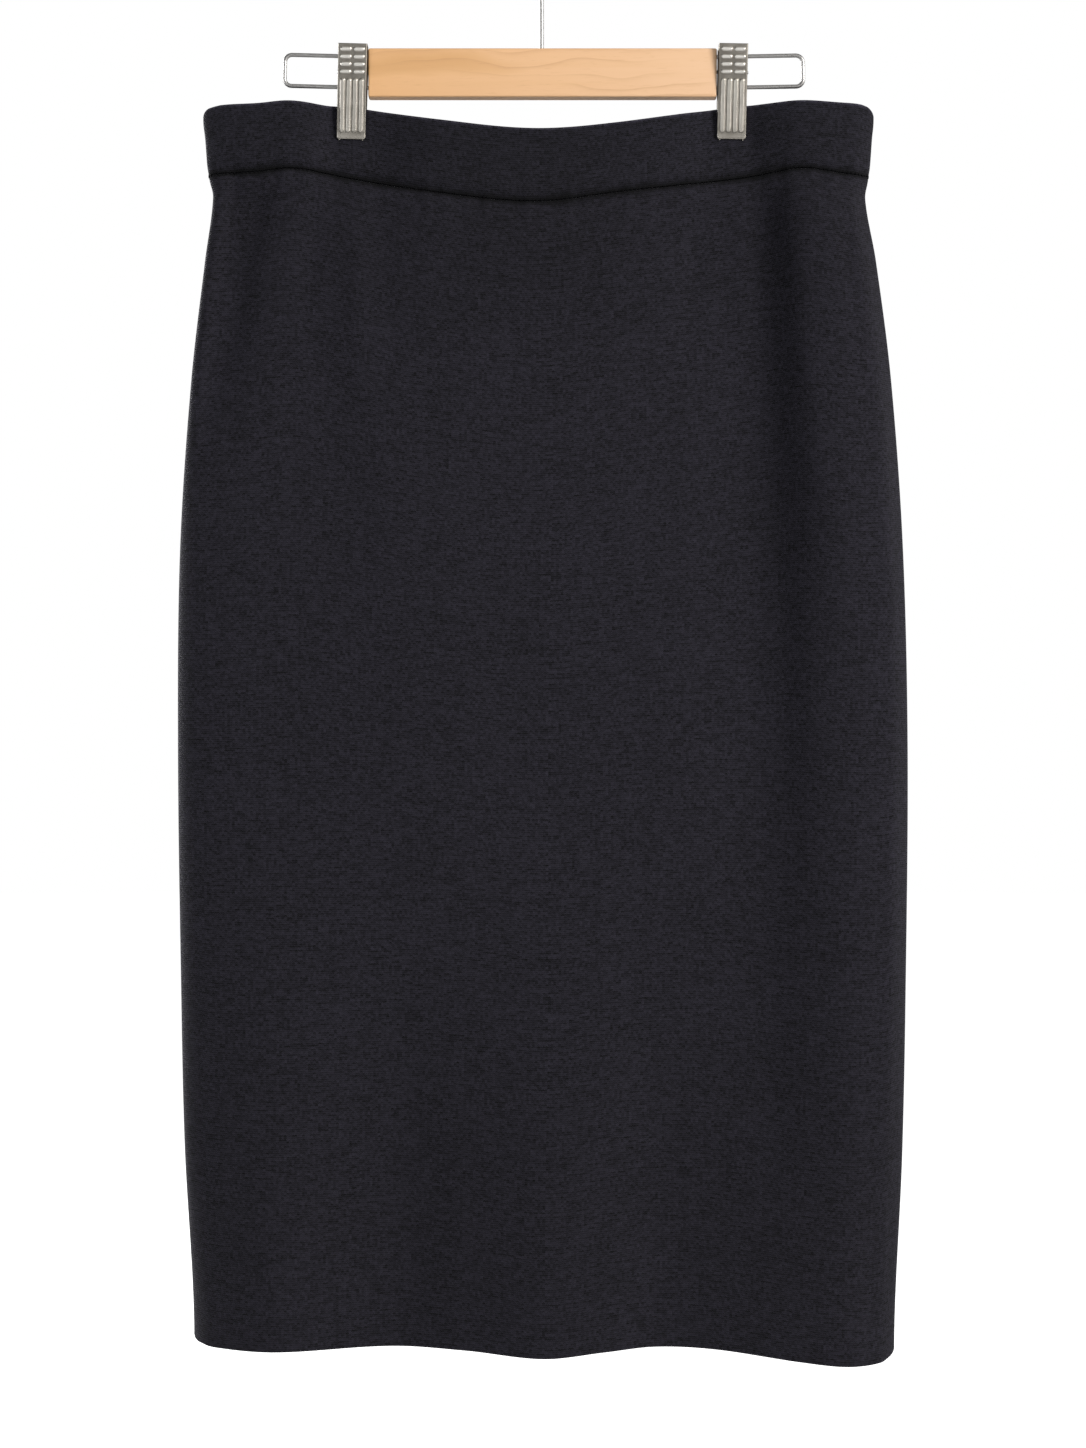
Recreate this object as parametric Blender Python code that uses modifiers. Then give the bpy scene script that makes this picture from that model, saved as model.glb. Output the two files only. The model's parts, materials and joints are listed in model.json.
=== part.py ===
"""Knitted pull-on pencil skirt, hanging from a wooden hanger by two sprung metal clips.

Metres. +Z is up, +X is to the viewer's right and -Y is towards the viewer. The origin is
the hang point: the inner crest of the hook, where a rail carries the hanger.

The skirt is a tube of four cloth pieces: front and back panels, and the front and back of
a deep waistband. Each is an open sheet, worked out from the tables below, with a wall
thickness added on its inside. The clips pinch the waistband flat at two places, it bows
open between them, and the tube below hangs in soft folds down to an open hem.
"""

import math
from collections import namedtuple

import bmesh
import bpy
from mathutils import Matrix, Vector

# ---------------------------------------------------------------- driving dimensions

# The cloth. A drop is a distance below the waist edge, measured down the side folds.
WAIST_Z = -0.1151  # the waist edge, below the hang point
BAND_DEEP = 0.0394  # the waistband, from its top edge to the seam under it
SKIRT_LONG = 0.718  # the waist edge to the hem
BAND_WALL = 0.0025  # the waistband is two layers of knit
PANEL_WALL = 0.0020
SEAM_GAP = 0.0003  # between neighbouring pieces
SIDE_FLAT = 0.0008  # a side fold runs straight back this far before it turns
SWELL_START = 0.380  # the drop where the waves of the hem begin
DOME = 9.0  # a high power keeps the middle of a panel flat, up to near its sides
FOLD_FREE = 0.012  # the soft folds die out over this distance from a side fold
LINE_FADE = 0.25  # the seam's line fades from 0 to 1 less this, the hem's from this to 1
WAIST_ROUND, HEM_ROUND = 0.0045, 0.0032  # the corners of the skirt, seen from the front
CORNER_FADE = 0.018  # the rows are level again this far from a rounded corner

# The grid of a cloth piece
MIDDLE_STEPS = 36
FOLD_STEPS = 4
BAND_STEPS = 4
PANEL_STEPS = 20
ROW_CROWDING = 1.35  # above 1, a panel's rows lie closer together near the waist

# The hanger's bar
BAR_LEFT, BAR_RIGHT = -0.1011, 0.1006
BAR_TOP = -0.0826
BAR_HIGH = 0.0282
BAR_THICK = 0.0120
BAR_ROUND = 0.0016

# The hook: a shank from the bar's top, a sideways bend, and a crook round the rail
HOOK_WIRE = 0.0028
HOOK_BORE = 0.0190  # the crook's inner radius
HOOK_SEAT = 0.0100  # the shank goes this far into the bar
SHANK_X = -0.0009  # the shank stands a little to the left of the crest
SHANK_TOP = -0.0530  # the shank is straight up to here
CROOK_START, CROOK_END = math.radians(-38), math.radians(196)
CROOK_STEPS, NECK_STEPS = 18, 8

# The wire loops that the clips slide along
LOOP_WIRE = 0.0024
LOOP_HIGH_Z, LOOP_LOW_Z = -0.0866, -0.1046
LOOP_REACH = {"left": 0.1510, "right": 0.1520}  # the loop's outer end
LOOP_RISE = {"left": math.radians(1.5), "right": math.radians(1.0)}  # outwards and up
LOOP_SEAT = 0.0180  # the wire goes this far into the bar
LOOP_CORNER = 0.0042
CORNER_STEPS = 4

# The clips, in a frame of their own with its origin at the middle of the pivot pin
PIN_Z = (LOOP_HIGH_Z + LOOP_LOW_Z) / 2
CLIP_X = {"left": -0.1102, "right": 0.1098}
CLIP_TILT = {"left": math.radians(1.5), "right": math.radians(1.1)}
PINCH_X = (-0.1108, 0.1093)  # the jaws' middles, a little to the left of the pins
PLATE_WIDE = 0.0168
PLATE_TOP = 0.0152
PLATE_FOOT = -0.0392
PLATE_SHEET = 0.0010
PLATE_ROUND, PLATE_ROUND_TOP = 0.0014, 0.0007  # its corners at the foot and the top
JAW_Y = 0.00295  # the jaw's inner face, at the foot of the plate
PLATE_LEAN = math.radians(6.7)  # the plates part upwards
FLANGE_BACK = 0.0030  # the front plate's flanges reach this far behind the pin
FLANGE_LOW, FLANGE_ROOT = -0.0120, -0.0200  # its lower corner, behind and at the plate
FLANGE_TRIM = 0.0015  # its cut corners
EAR_ROUND = 0.0032  # the back plate's ears end in a round about the pin
EAR_HIGH = 0.0060
PIN_WIRE, PIN_PROUD = 0.0024, 0.0004  # the pin ends stand out of the flanges
SPRING_OUTER, SPRING_INNER, SPRING_LONG = 0.0033, 0.0016, 0.0080
PART_GAP = 0.0003  # between hard pieces that touch
SLIDE_GAP = 0.0008  # the loose fit of the wires in the flanges
WELD = 0.00001  # points this close are one

# The plates' pressed relief, measured along the plate from its foot
RIBS = 4
RIB_WIDE, RIB_RISE, RIB_PITCH = 0.0021, 0.0007, 0.00365
RIB_FOOT, RIB_TOP = 0.0046, 0.0345
DASH_X, DASH_WIDE, DASH_TALL = 0.0038, 0.0058, 0.0019
DASH_ROWS, DASH_PITCH, DASH_FIRST = 4, 0.0043, 0.0384
TAPER = 0.62  # a raised rib's or dash's crown against its foot

# ---------------------------------------------------------------- tables of the cloth

# A section of the tube at a drop: the X of its two side folds, how far the middle of its
# front and back stand from the plane between them, and the radius of its side folds.
Section = namedtuple("Section", "drop left right front back fold")
SECTIONS = (
    Section(0.000, -0.1970, 0.1917, 0.0122, 0.0104, 0.0048),
    Section(0.019, -0.1957, 0.1906, 0.0127, 0.0118, 0.0050),
    Section(0.0394, -0.1940, 0.1890, 0.0132, 0.0135, 0.0052),
    Section(0.052, -0.1913, 0.1868, 0.0140, 0.0145, 0.0054),
    Section(0.089, -0.1960, 0.1931, 0.0160, 0.0170, 0.0066),
    Section(0.158, -0.2039, 0.2018, 0.0182, 0.0198, 0.0082),
    Section(0.257, -0.2104, 0.2087, 0.0198, 0.0220, 0.0098),
    Section(0.373, -0.2116, 0.2114, 0.0205, 0.0230, 0.0106),
    Section(0.518, -0.2097, 0.2101, 0.0203, 0.0230, 0.0108),
    Section(0.605, -0.2077, 0.2082, 0.0203, 0.0225, 0.0104),
    Section(0.718, -0.2022, 0.2036, 0.0208, 0.0220, 0.0096),
)

# How far the waist edge and the seam rise at a place across the skirt. Both sag between
# the clips and stand up a little where the band bows out beyond them.
BandLine = namedtuple("BandLine", "x waist seam")
BAND_LINES = {
    "front": (
        BandLine(-0.197, -0.0029, -0.0016),
        BandLine(-0.186, -0.0011, -0.0006),
        BandLine(-0.165, -0.0003, 0.0005),
        BandLine(-0.147, 0.0013, 0.0023),
        BandLine(-0.128, -0.0004, 0.0002),
        BandLine(-0.110, -0.0013, -0.0032),
        BandLine(-0.060, -0.0096, -0.0120),
        BandLine(-0.005, -0.0147, -0.0172),
        BandLine(0.045, -0.0109, -0.0114),
        BandLine(0.110, -0.0011, -0.0034),
        BandLine(0.130, 0.0003, -0.0006),
        BandLine(0.149, 0.0013, 0.0017),
        BandLine(0.170, 0.0001, -0.0009),
        BandLine(0.184, -0.0008, -0.0022),
        BandLine(0.192, -0.0029, -0.0018),
    ),
    "back": (
        BandLine(-0.197, -0.0029, -0.0016),
        BandLine(-0.184, -0.0012, -0.0010),
        BandLine(-0.151, 0.0010, 0.0014),
        BandLine(-0.110, -0.0013, -0.0030),
        BandLine(-0.048, -0.0112, -0.0126),
        BandLine(0.008, -0.0140, -0.0158),
        BandLine(0.062, -0.0082, -0.0098),
        BandLine(0.110, -0.0011, -0.0032),
        BandLine(0.146, 0.0011, 0.0012),
        BandLine(0.180, -0.0010, -0.0014),
        BandLine(0.192, -0.0029, -0.0018),
    ),
}

# How far the hem rises at a place across the skirt, and how far its wave swells out.
HemLine = namedtuple("HemLine", "x lift swell")
HEM_LINES = {
    "front": (
        HemLine(-0.2030, 0.0036, 0.0000),
        HemLine(-0.190, 0.0014, 0.0020),
        HemLine(-0.152, -0.0001, 0.0062),
        HemLine(-0.086, 0.0015, -0.0062),
        HemLine(-0.045, -0.0001, 0.0005),
        HemLine(0.000, -0.0039, 0.0074),
        HemLine(0.035, -0.0012, 0.0012),
        HemLine(0.065, 0.0008, -0.0062),
        HemLine(0.100, -0.0004, -0.0036),
        HemLine(0.150, -0.0066, 0.0050),
        HemLine(0.175, -0.0088, 0.0078),
        HemLine(0.195, -0.0078, 0.0030),
        HemLine(0.2040, -0.0045, 0.0000),
    ),
    "back": (
        HemLine(-0.2030, 0.0036, 0.0000),
        HemLine(-0.186, 0.0020, 0.0026),
        HemLine(-0.128, -0.0006, 0.0070),
        HemLine(-0.062, 0.0020, -0.0060),
        HemLine(0.004, -0.0002, 0.0058),
        HemLine(0.070, -0.0008, -0.0052),
        HemLine(0.138, -0.0062, 0.0068),
        HemLine(0.190, -0.0066, 0.0024),
        HemLine(0.2040, -0.0045, 0.0000),
    ),
}

# A soft fold runs down the cloth from x_high to x_low, gains its full rise between two
# drops and loses it between two others. A negative rise is a trough. Each side of a fold
# has its own width.
Fold = namedtuple("Fold", "x_high x_low start full ease end left right rise")
FOLDS = {
    "front": (
        Fold(0.168, 0.201, -0.060, 0.060, 0.520, 0.700, 0.0310, 0.0500, 0.0055),
        Fold(0.139, 0.178, 0.030, 0.080, 0.200, 0.366, 0.0150, 0.0500, 0.0042),
        Fold(0.123, 0.143, 0.030, 0.080, 0.310, 0.538, 0.0500, 0.0145, -0.0042),
        Fold(0.111, 0.130, 0.024, 0.070, 0.490, 0.718, 0.0500, 0.0210, -0.0055),
        Fold(-0.165, -0.196, 0.030, 0.060, 0.127, 0.250, 0.0210, 0.0165, -0.0055),
        Fold(-0.151, -0.101, 0.024, 0.060, 0.129, 0.400, 0.0500, 0.0234, -0.0041),
        Fold(-0.034, -0.070, 0.060, 0.160, 0.310, 0.516, 0.0300, 0.0300, 0.0014),
        Fold(0.063, 0.034, 0.080, 0.200, 0.365, 0.680, 0.0480, 0.0480, -0.0024),
    ),
    "back": (
        Fold(0.150, 0.156, -0.060, 0.050, 0.200, 0.420, 0.0160, 0.0160, 0.0034),
        Fold(-0.149, -0.158, -0.060, 0.060, 0.220, 0.460, 0.0140, 0.0140, 0.0042),
        Fold(-0.126, -0.138, 0.024, 0.070, 0.200, 0.480, 0.0130, 0.0130, -0.0042),
        Fold(0.118, 0.113, 0.024, 0.060, 0.130, 0.280, 0.0120, 0.0120, -0.0034),
        Fold(0.022, 0.052, 0.060, 0.180, 0.320, 0.520, 0.0440, 0.0440, 0.0024),
    ),
}

# How flat the clips hold the cloth at a drop, from 1 between the jaws to 0 where it is
# free, and how far to the side of the jaws it takes to open again: quickly on the outer
# side, and in a long, gentle arch on the inner one.
Pinch = namedtuple("Pinch", "drop hold outer inner")
PINCHES = (
    Pinch(0.000, 1.00, 0.0110, 0.0270),
    Pinch(0.022, 1.00, 0.0110, 0.0270),
    Pinch(0.040, 0.74, 0.0140, 0.0280),
    Pinch(0.070, 0.40, 0.0200, 0.0290),
    Pinch(0.120, 0.14, 0.0280, 0.0310),
    Pinch(0.200, 0.00, 0.0340, 0.0340),
    Pinch(0.718, 0.00, 0.0340, 0.0340),
)
FLAT_HALF = 0.0092  # the cloth is flat this far each way from a jaw's middle

# Finishes: colour, roughness, metallic
Finish = namedtuple("Finish", "colour roughness metallic")
FINISHES = {
    "black_knit": Finish((0.0200, 0.0185, 0.0230), 0.95, 0.0),
    "black_knit_band": Finish((0.0170, 0.0160, 0.0200), 0.95, 0.0),
    "pale_wood": Finish((0.8100, 0.5400, 0.3000), 0.50, 0.0),
    "nickel_plate": Finish((0.6200, 0.6000, 0.5700), 0.34, 1.0),
    "bright_wire": Finish((0.6600, 0.6500, 0.6400), 0.26, 1.0),
    "spring_steel": Finish((0.4200, 0.4200, 0.4300), 0.32, 1.0),
}

# ---------------------------------------------------------------- scene and objects

for old in list(bpy.data.objects):
    bpy.data.objects.remove(old, do_unlink=True)


def new_collection(name):
    made = bpy.data.collections.new(name)
    bpy.context.scene.collection.children.link(made)
    return made


SKIRT = new_collection("pencil_skirt_on_hanger")
CUTTERS = new_collection("cutters")


def new_material(name, slot):
    finish = FINISHES[slot]
    made = bpy.data.materials.new(name)
    made.use_nodes = True
    shader = made.node_tree.nodes["Principled BSDF"]
    shader.inputs["Base Color"].default_value = (*finish.colour, 1.0)
    shader.inputs["Roughness"].default_value = finish.roughness
    shader.inputs["Metallic"].default_value = finish.metallic
    return made


def add_piece(name, data, slot, smooth_angle=None):
    """A named sub-part of the skirt or hanger, with a material of its own."""
    piece = bpy.data.objects.new(name, data)
    SKIRT.objects.link(piece)
    piece.data.materials.clear()
    piece.data.materials.append(new_material(f"{name}_{slot}", slot))
    if smooth_angle is not None:
        piece.data.shade_smooth()
        piece.data.set_sharp_from_angle(angle=smooth_angle)
    return piece


def add_helper(name, data):
    """A guide or a cutter, which isn't part of the object."""
    helper = bpy.data.objects.new(name, data)
    CUTTERS.objects.link(helper)
    helper.hide_render = True
    helper.display_type = "WIRE"
    return helper


def finished_mesh(source, name):
    """The closed mesh of an object with its modifiers, or of a curve, welded and facing out."""
    bpy.context.view_layer.update()
    graph = bpy.context.evaluated_depsgraph_get()
    mesh = bpy.data.meshes.new_from_object(source.evaluated_get(graph))
    mesh.name = name
    cage = bmesh.new()
    cage.from_mesh(mesh)
    bmesh.ops.remove_doubles(cage, verts=cage.verts, dist=WELD)
    bmesh.ops.recalc_face_normals(cage, faces=cage.faces)
    cage.to_mesh(mesh)
    cage.free()
    return mesh


def add_boolean(target, other, operation):
    modifier = target.modifiers.new(f"{operation.lower()}_{other.name}", "BOOLEAN")
    modifier.operation = operation
    modifier.solver = "EXACT"
    modifier.object = other


# ---------------------------------------------------------------- curves through tables


def column(rows, by, name, at):
    """A smooth curve through one column of a table, at a value of another column."""
    places = [getattr(row, by) for row in rows]
    values = [getattr(row, name) for row in rows]
    at = min(max(at, places[0]), places[-1])
    last = len(rows) - 1
    here = next(i for i in range(last) if at <= places[i + 1])

    def slope(i):
        if i == 0 or i == last:
            return 0.0
        return (values[i + 1] - values[i - 1]) / (places[i + 1] - places[i - 1])

    step = places[here + 1] - places[here]
    t = (at - places[here]) / step
    return (
        values[here] * (2 * t**3 - 3 * t**2 + 1)
        + values[here + 1] * (3 * t**2 - 2 * t**3)
        + step * slope(here) * (t**3 - 2 * t**2 + t)
        + step * slope(here + 1) * (t**3 - t**2)
    )


def eased(value, low, high):
    """0 below low, 1 above high, and a soft S between them."""
    t = min(max((value - low) / (high - low), 0.0), 1.0)
    return t * t * (3 - 2 * t)


def bell(distance, width):
    return math.exp(-((distance / width) ** 2))


# ---------------------------------------------------------------- the cloth's surface


def folds_at(side, x, drop):
    """How far the soft folds push the cloth out at a place."""
    total = 0.0
    for fold in FOLDS[side]:
        along = min(max(drop / fold.end, 0.0), 1.0)
        middle = fold.x_high + (fold.x_low - fold.x_high) * along
        strength = eased(drop, fold.start, fold.full) - eased(drop, fold.ease, fold.end)
        width = fold.left if x < middle else fold.right
        total += fold.rise * strength * bell(x - middle, width)
    swell = column(HEM_LINES[side], "x", "swell", x)
    return total + swell * eased(drop, SWELL_START, SKIRT_LONG)


def pinch_at(x, drop):
    """How flat the clips hold the cloth at a place, from 0 to 1."""
    nearest = 0.0
    for jaw in PINCH_X:
        towards_middle = (x - jaw) * jaw < 0
        reach = column(PINCHES, "drop", "inner" if towards_middle else "outer", drop)
        beside = max(abs(x - jaw) - FLAT_HALF, 0.0)
        nearest = max(nearest, bell(beside, reach))
    return column(PINCHES, "drop", "hold", drop) * nearest


def height_at(side, x, drop):
    """The Z of the cloth at a place: the rows follow the waist edge, seam and hem."""
    waist = column(BAND_LINES[side], "x", "waist", x)
    seam = column(BAND_LINES[side], "x", "seam", x)
    hem = column(HEM_LINES[side], "x", "lift", x)
    if drop <= BAND_DEEP:
        lift = waist + (seam - waist) * drop / BAND_DEEP
    else:
        below = (drop - BAND_DEEP) / (SKIRT_LONG - BAND_DEEP)
        lift = seam * (1 - eased(below, 0.0, 1 - LINE_FADE))
        lift += hem * eased(below, LINE_FADE, 1.0)
    return WAIST_Z - drop + lift


def corner_lift(inset, drop):
    """How far the rounded corners lower the waist edge, and raise the hem, at the sides."""
    total = 0.0
    for corner, share in (
        (WAIST_ROUND, eased(drop, 0.0, CORNER_FADE) - 1),
        (HEM_ROUND, eased(drop, SKIRT_LONG - CORNER_FADE, SKIRT_LONG)),
    ):
        near = min(max(corner - inset, 0.0), corner)
        total += share * (corner - math.sqrt(corner**2 - near**2))
    return total


def middle_places():
    """Fractions across a panel, closer together where the clips and sharp folds are."""
    fine = 400
    crowd_at, crowd_width, crowding = 0.66, 0.17, 2.2
    total, sums = 0.0, [0.0]
    for i in range(fine):
        across = abs(2 * (i + 0.5) / fine - 1)
        total += 1 + crowding * bell(across - crowd_at, crowd_width)
        sums.append(total)
    places, i = [], 0
    for step in range(MIDDLE_STEPS + 1):
        wanted = total * step / MIDDLE_STEPS
        while i < fine - 1 and sums[i + 1] < wanted:
            i += 1
        places.append((i + (wanted - sums[i]) / (sums[i + 1] - sums[i])) / fine)
    return places


def section_columns():
    """The columns of a piece: (turn round the fold, fraction across, which side)."""
    turns = [math.pi / 2 * k / FOLD_STEPS for k in range(FOLD_STEPS)]
    left = [(turn, 0.0, -1) for turn in turns]
    middle = [(math.pi / 2, place, 0) for place in middle_places()]
    right = [(turn, 1.0, 1) for turn in reversed(turns)]
    return [(None, 0.0, -1)] + left + middle + right + [(None, 1.0, 1)]


def cloth_point(side, spot, drop, wall):
    """The outer surface of the cloth at a column of the section and a drop."""
    turn, place, end = spot
    left = column(SECTIONS, "drop", "left", drop)
    right = column(SECTIONS, "drop", "right", drop)
    depth = column(SECTIONS, "drop", side, drop)
    fold = column(SECTIONS, "drop", "fold", drop)
    if turn is None:
        x = left if end < 0 else right
        stand = SEAM_GAP / 2
    else:
        x = (left + fold) + (right - left - 2 * fold) * place
        x += end * fold * math.cos(turn)
        from_middle = (2 * x - left - right) / (right - left)
        dome = 1 - min(abs(from_middle), 1.0) ** DOME
        free = depth - fold - SIDE_FLAT
        stand = SIDE_FLAT + fold * math.sin(turn) + free * dome
        relief = folds_at(side, x, drop)
        stand += relief * eased(min(x - left, right - x), 0.0, FOLD_FREE)
    if turn is not None and end == 0:
        least = wall + SEAM_GAP / 2
        stand = least + max(stand - least, 0.0) * (1 - pinch_at(x, drop))
    outward = -1 if side == "front" else 1
    inset = min(x - left, right - x)
    return Vector((x, outward * stand, height_at(side, x, drop) + corner_lift(inset, drop)))


def cloth_piece(name, side, high_drop, low_drop, steps, crowding, wall, slot):
    """One sewn piece: a grid moved onto the cloth's surface, given a wall inwards."""
    columns = section_columns()
    cage = bmesh.new()
    bmesh.ops.create_grid(cage, x_segments=len(columns) - 1, y_segments=steps, size=1)
    for vert in cage.verts:
        spot = columns[round((vert.co.x + 1) / 2 * (len(columns) - 1))]
        row = round((1 - vert.co.y) / 2 * steps)
        drop = high_drop + (low_drop - high_drop) * (row / steps) ** crowding
        vert.co = cloth_point(side, spot, drop, wall)
        if drop == BAND_DEEP:
            vert.co.z += SEAM_GAP / 2 * (1 if row else -1)
    if side == "back":
        bmesh.ops.reverse_faces(cage, faces=cage.faces)
    mesh = bpy.data.meshes.new(name)
    cage.to_mesh(mesh)
    cage.free()
    piece = add_piece(name, mesh, slot, smooth_angle=math.radians(60))
    shell = piece.modifiers.new("cloth_wall", "SOLIDIFY")
    shell.thickness = wall
    shell.offset = -1.0
    return piece


def make_cloth():
    for side in ("front", "back"):
        cloth_piece(
            f"waistband_{side}", side, 0.0, BAND_DEEP, BAND_STEPS, 1.0,
            BAND_WALL, "black_knit_band",
        )
        cloth_piece(
            f"skirt_{side}", side, BAND_DEEP, SKIRT_LONG, PANEL_STEPS, ROW_CROWDING,
            PANEL_WALL, "black_knit",
        )


# ---------------------------------------------------------------- the hanger


def wire(name, points, thick, slot):
    """A round wire through points, with flat ends."""
    curve = bpy.data.curves.new(name, "CURVE")
    curve.dimensions = "3D"
    curve.bevel_depth = thick / 2
    curve.bevel_resolution = 3
    curve.use_fill_caps = True
    spline = curve.splines.new("POLY")
    spline.points.add(len(points) - 1)
    for knot, point in zip(spline.points, points):
        knot.co = (*point, 1.0)
    return add_piece(name, curve, slot)


def rod_mesh(name, radius, long, sides=12):
    """A round bar along X with its middle at the origin."""
    cage = bmesh.new()
    bmesh.ops.create_cone(
        cage, cap_ends=True, segments=sides, radius1=radius, radius2=radius, depth=long,
        matrix=Matrix.Rotation(math.pi / 2, 4, "Y"),
    )
    mesh = bpy.data.meshes.new(name)
    cage.to_mesh(mesh)
    cage.free()
    return mesh


def box_mesh(name, low, high):
    """A box between two corners."""
    cage = bmesh.new()
    low, high = Vector(low), Vector(high)
    size = high - low
    matrix = Matrix.Translation((low + high) / 2) @ Matrix.Diagonal((*size, 1.0))
    bmesh.ops.create_cube(cage, size=1.0, matrix=matrix)
    mesh = bpy.data.meshes.new(name)
    cage.to_mesh(mesh)
    cage.free()
    return mesh


def make_bar():
    """The wooden bar, drilled for the two wire loops and for the hook."""
    half = BAR_THICK / 2
    low, high = (BAR_LEFT, -half, BAR_TOP - BAR_HIGH), (BAR_RIGHT, half, BAR_TOP)
    bar = add_piece("hanger_bar", box_mesh("hanger_bar", low, high), "pale_wood")
    edges = bar.modifiers.new("rounded_edges", "BEVEL")
    edges.width = BAR_ROUND
    edges.segments = 3
    drill = rod_mesh("loop_drill", LOOP_WIRE / 2 + PART_GAP, 2 * LOOP_SEAT + 2 * PART_GAP)
    for side in ("left", "right"):
        for z in (LOOP_HIGH_Z, LOOP_LOW_Z):
            hole = add_helper(f"loop_drill_{len(CUTTERS.objects)}", drill)
            hole.matrix_world = loop_frame(side) @ Matrix.Translation((0, 0, z - PIN_Z))
            add_boolean(bar, hole, "DIFFERENCE")
    drill = rod_mesh("hook_drill", HOOK_WIRE / 2 + PART_GAP, 2 * HOOK_SEAT + 2 * PART_GAP)
    hole = add_helper("hook_drill", drill)
    hole.location = (SHANK_X, 0, BAR_TOP)
    hole.rotation_euler = (0, math.pi / 2, 0)
    add_boolean(bar, hole, "DIFFERENCE")


def make_hook():
    """Shank, a bend to one side, and the crook, all in the plane of the hanger."""
    radius = HOOK_BORE + HOOK_WIRE / 2
    middle = Vector((0, 0, -HOOK_BORE))

    def on_crook(turn):
        return middle + radius * Vector((math.cos(turn), 0, math.sin(turn)))

    foot, neck = Vector((SHANK_X, 0, BAR_TOP - HOOK_SEAT)), Vector((SHANK_X, 0, SHANK_TOP))
    joins = on_crook(CROOK_START)
    heading = Vector((-math.sin(CROOK_START), 0, math.cos(CROOK_START)))
    pull = 0.45 * (joins - neck).length
    bend_a, bend_b = neck + Vector((0, 0, pull)), joins - pull * heading
    points = [foot, neck]
    for i in range(1, NECK_STEPS):
        t = i / NECK_STEPS
        points.append(
            (1 - t) ** 3 * neck
            + 3 * (1 - t) ** 2 * t * bend_a
            + 3 * (1 - t) * t**2 * bend_b
            + t**3 * joins
        )
    for i in range(CROOK_STEPS + 1):
        points.append(on_crook(CROOK_START + (CROOK_END - CROOK_START) * i / CROOK_STEPS))
    wire("hook", points, HOOK_WIRE, "bright_wire")


def loop_frame(side):
    """A wire loop's frame: at the bar's end, between the two legs, x out along them."""
    end = BAR_LEFT if side == "left" else BAR_RIGHT
    turn = math.pi + LOOP_RISE[side] if side == "left" else -LOOP_RISE[side]
    return Matrix.Translation((end, 0, PIN_Z)) @ Matrix.Rotation(turn, 4, "Y")


def make_loop(side):
    """A flat U of wire: two legs out of the bar's end, joined by rounded corners."""
    frame = loop_frame(side)
    half = (LOOP_HIGH_Z - LOOP_LOW_Z) / 2
    reach = LOOP_REACH[side] - abs(frame.translation.x) - LOOP_WIRE / 2
    middle_x, middle_z = reach - LOOP_CORNER, half - LOOP_CORNER
    points = [(-LOOP_SEAT, 0, half)]
    for z, turn_from in ((middle_z, math.pi / 2), (-middle_z, 0.0)):
        for i in range(CORNER_STEPS + 1):
            turn = turn_from - math.pi / 2 * i / CORNER_STEPS
            out, up = LOOP_CORNER * math.cos(turn), LOOP_CORNER * math.sin(turn)
            points.append((middle_x + out, 0, z + up))
    points.append((-LOOP_SEAT, 0, -half))
    wire(f"wire_loop_{side}", [frame @ Vector(p) for p in points], LOOP_WIRE, "bright_wire")


# ---------------------------------------------------------------- the clips


def flat_mesh(name, outline, thick):
    """A flat outline in the XY plane with a thickness, centred on that plane."""
    curve = bpy.data.curves.new(name, "CURVE")
    curve.dimensions = "2D"
    curve.fill_mode = "BOTH"
    curve.extrude = thick / 2
    spline = curve.splines.new("POLY")
    spline.points.add(len(outline) - 1)
    spline.use_cyclic_u = True
    for knot, (x, y) in zip(spline.points, outline):
        knot.co = (x, y, 0, 1)
    guide = add_helper(f"{name}_outline", curve)
    mesh = finished_mesh(guide, name)
    bpy.data.objects.remove(guide, do_unlink=True)
    return mesh


def arc(middle, radius, start, stop, steps=3):
    turns = [math.radians(start + (stop - start) * i / steps) for i in range(steps + 1)]
    return [(middle[0] + radius * math.cos(t), middle[1] + radius * math.sin(t)) for t in turns]


def plate_frame(way):
    """From a plate's own frame (x across, y up, z outwards) to the clip's frame.

    way is -1 for the front plate and 1 for the back one."""
    foot = Matrix.Translation((0, way * JAW_Y, PLATE_FOOT))
    lean = Matrix.Rotation(-way * PLATE_LEAN, 4, "X")
    stand = Matrix.Rotation(math.pi / 2, 4, "X")
    turn = Matrix.Rotation(0 if way < 0 else math.pi, 4, "Z")
    return foot @ lean @ turn @ stand


def relief_mesh(name):
    """The pressed relief: upright ribs, and over them two rows of short dashes."""
    ribs_middle, rib_tall = (RIB_FOOT + RIB_TOP) / 2, RIB_TOP - RIB_FOOT
    spots = []
    for i in range(RIBS):
        x = (i - (RIBS - 1) / 2) * RIB_PITCH
        spots.append((x, ribs_middle, RIB_WIDE, rib_tall))
    for row in range(DASH_ROWS):
        y = DASH_FIRST + row * DASH_PITCH
        spots += [(-DASH_X, y, DASH_WIDE, DASH_TALL), (DASH_X, y, DASH_WIDE, DASH_TALL)]
    cage = bmesh.new()
    sunk = PLATE_SHEET / 2
    deep = RIB_RISE + sunk
    for x, y, wide, tall in spots:
        matrix = Matrix.Translation((x, y, PLATE_SHEET - sunk + deep / 2))
        matrix = matrix @ Matrix.Diagonal((wide, tall, deep, 1.0))
        inset = min(wide, tall) * (1 - TAPER) / 2
        for vert in bmesh.ops.create_cube(cage, size=1.0, matrix=matrix)["verts"]:
            if vert.co.z > PLATE_SHEET:
                vert.co.x -= math.copysign(inset, vert.co.x - x)
                vert.co.y -= math.copysign(inset, vert.co.y - y)
    mesh = bpy.data.meshes.new(name)
    cage.to_mesh(mesh)
    cage.free()
    return mesh


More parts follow.
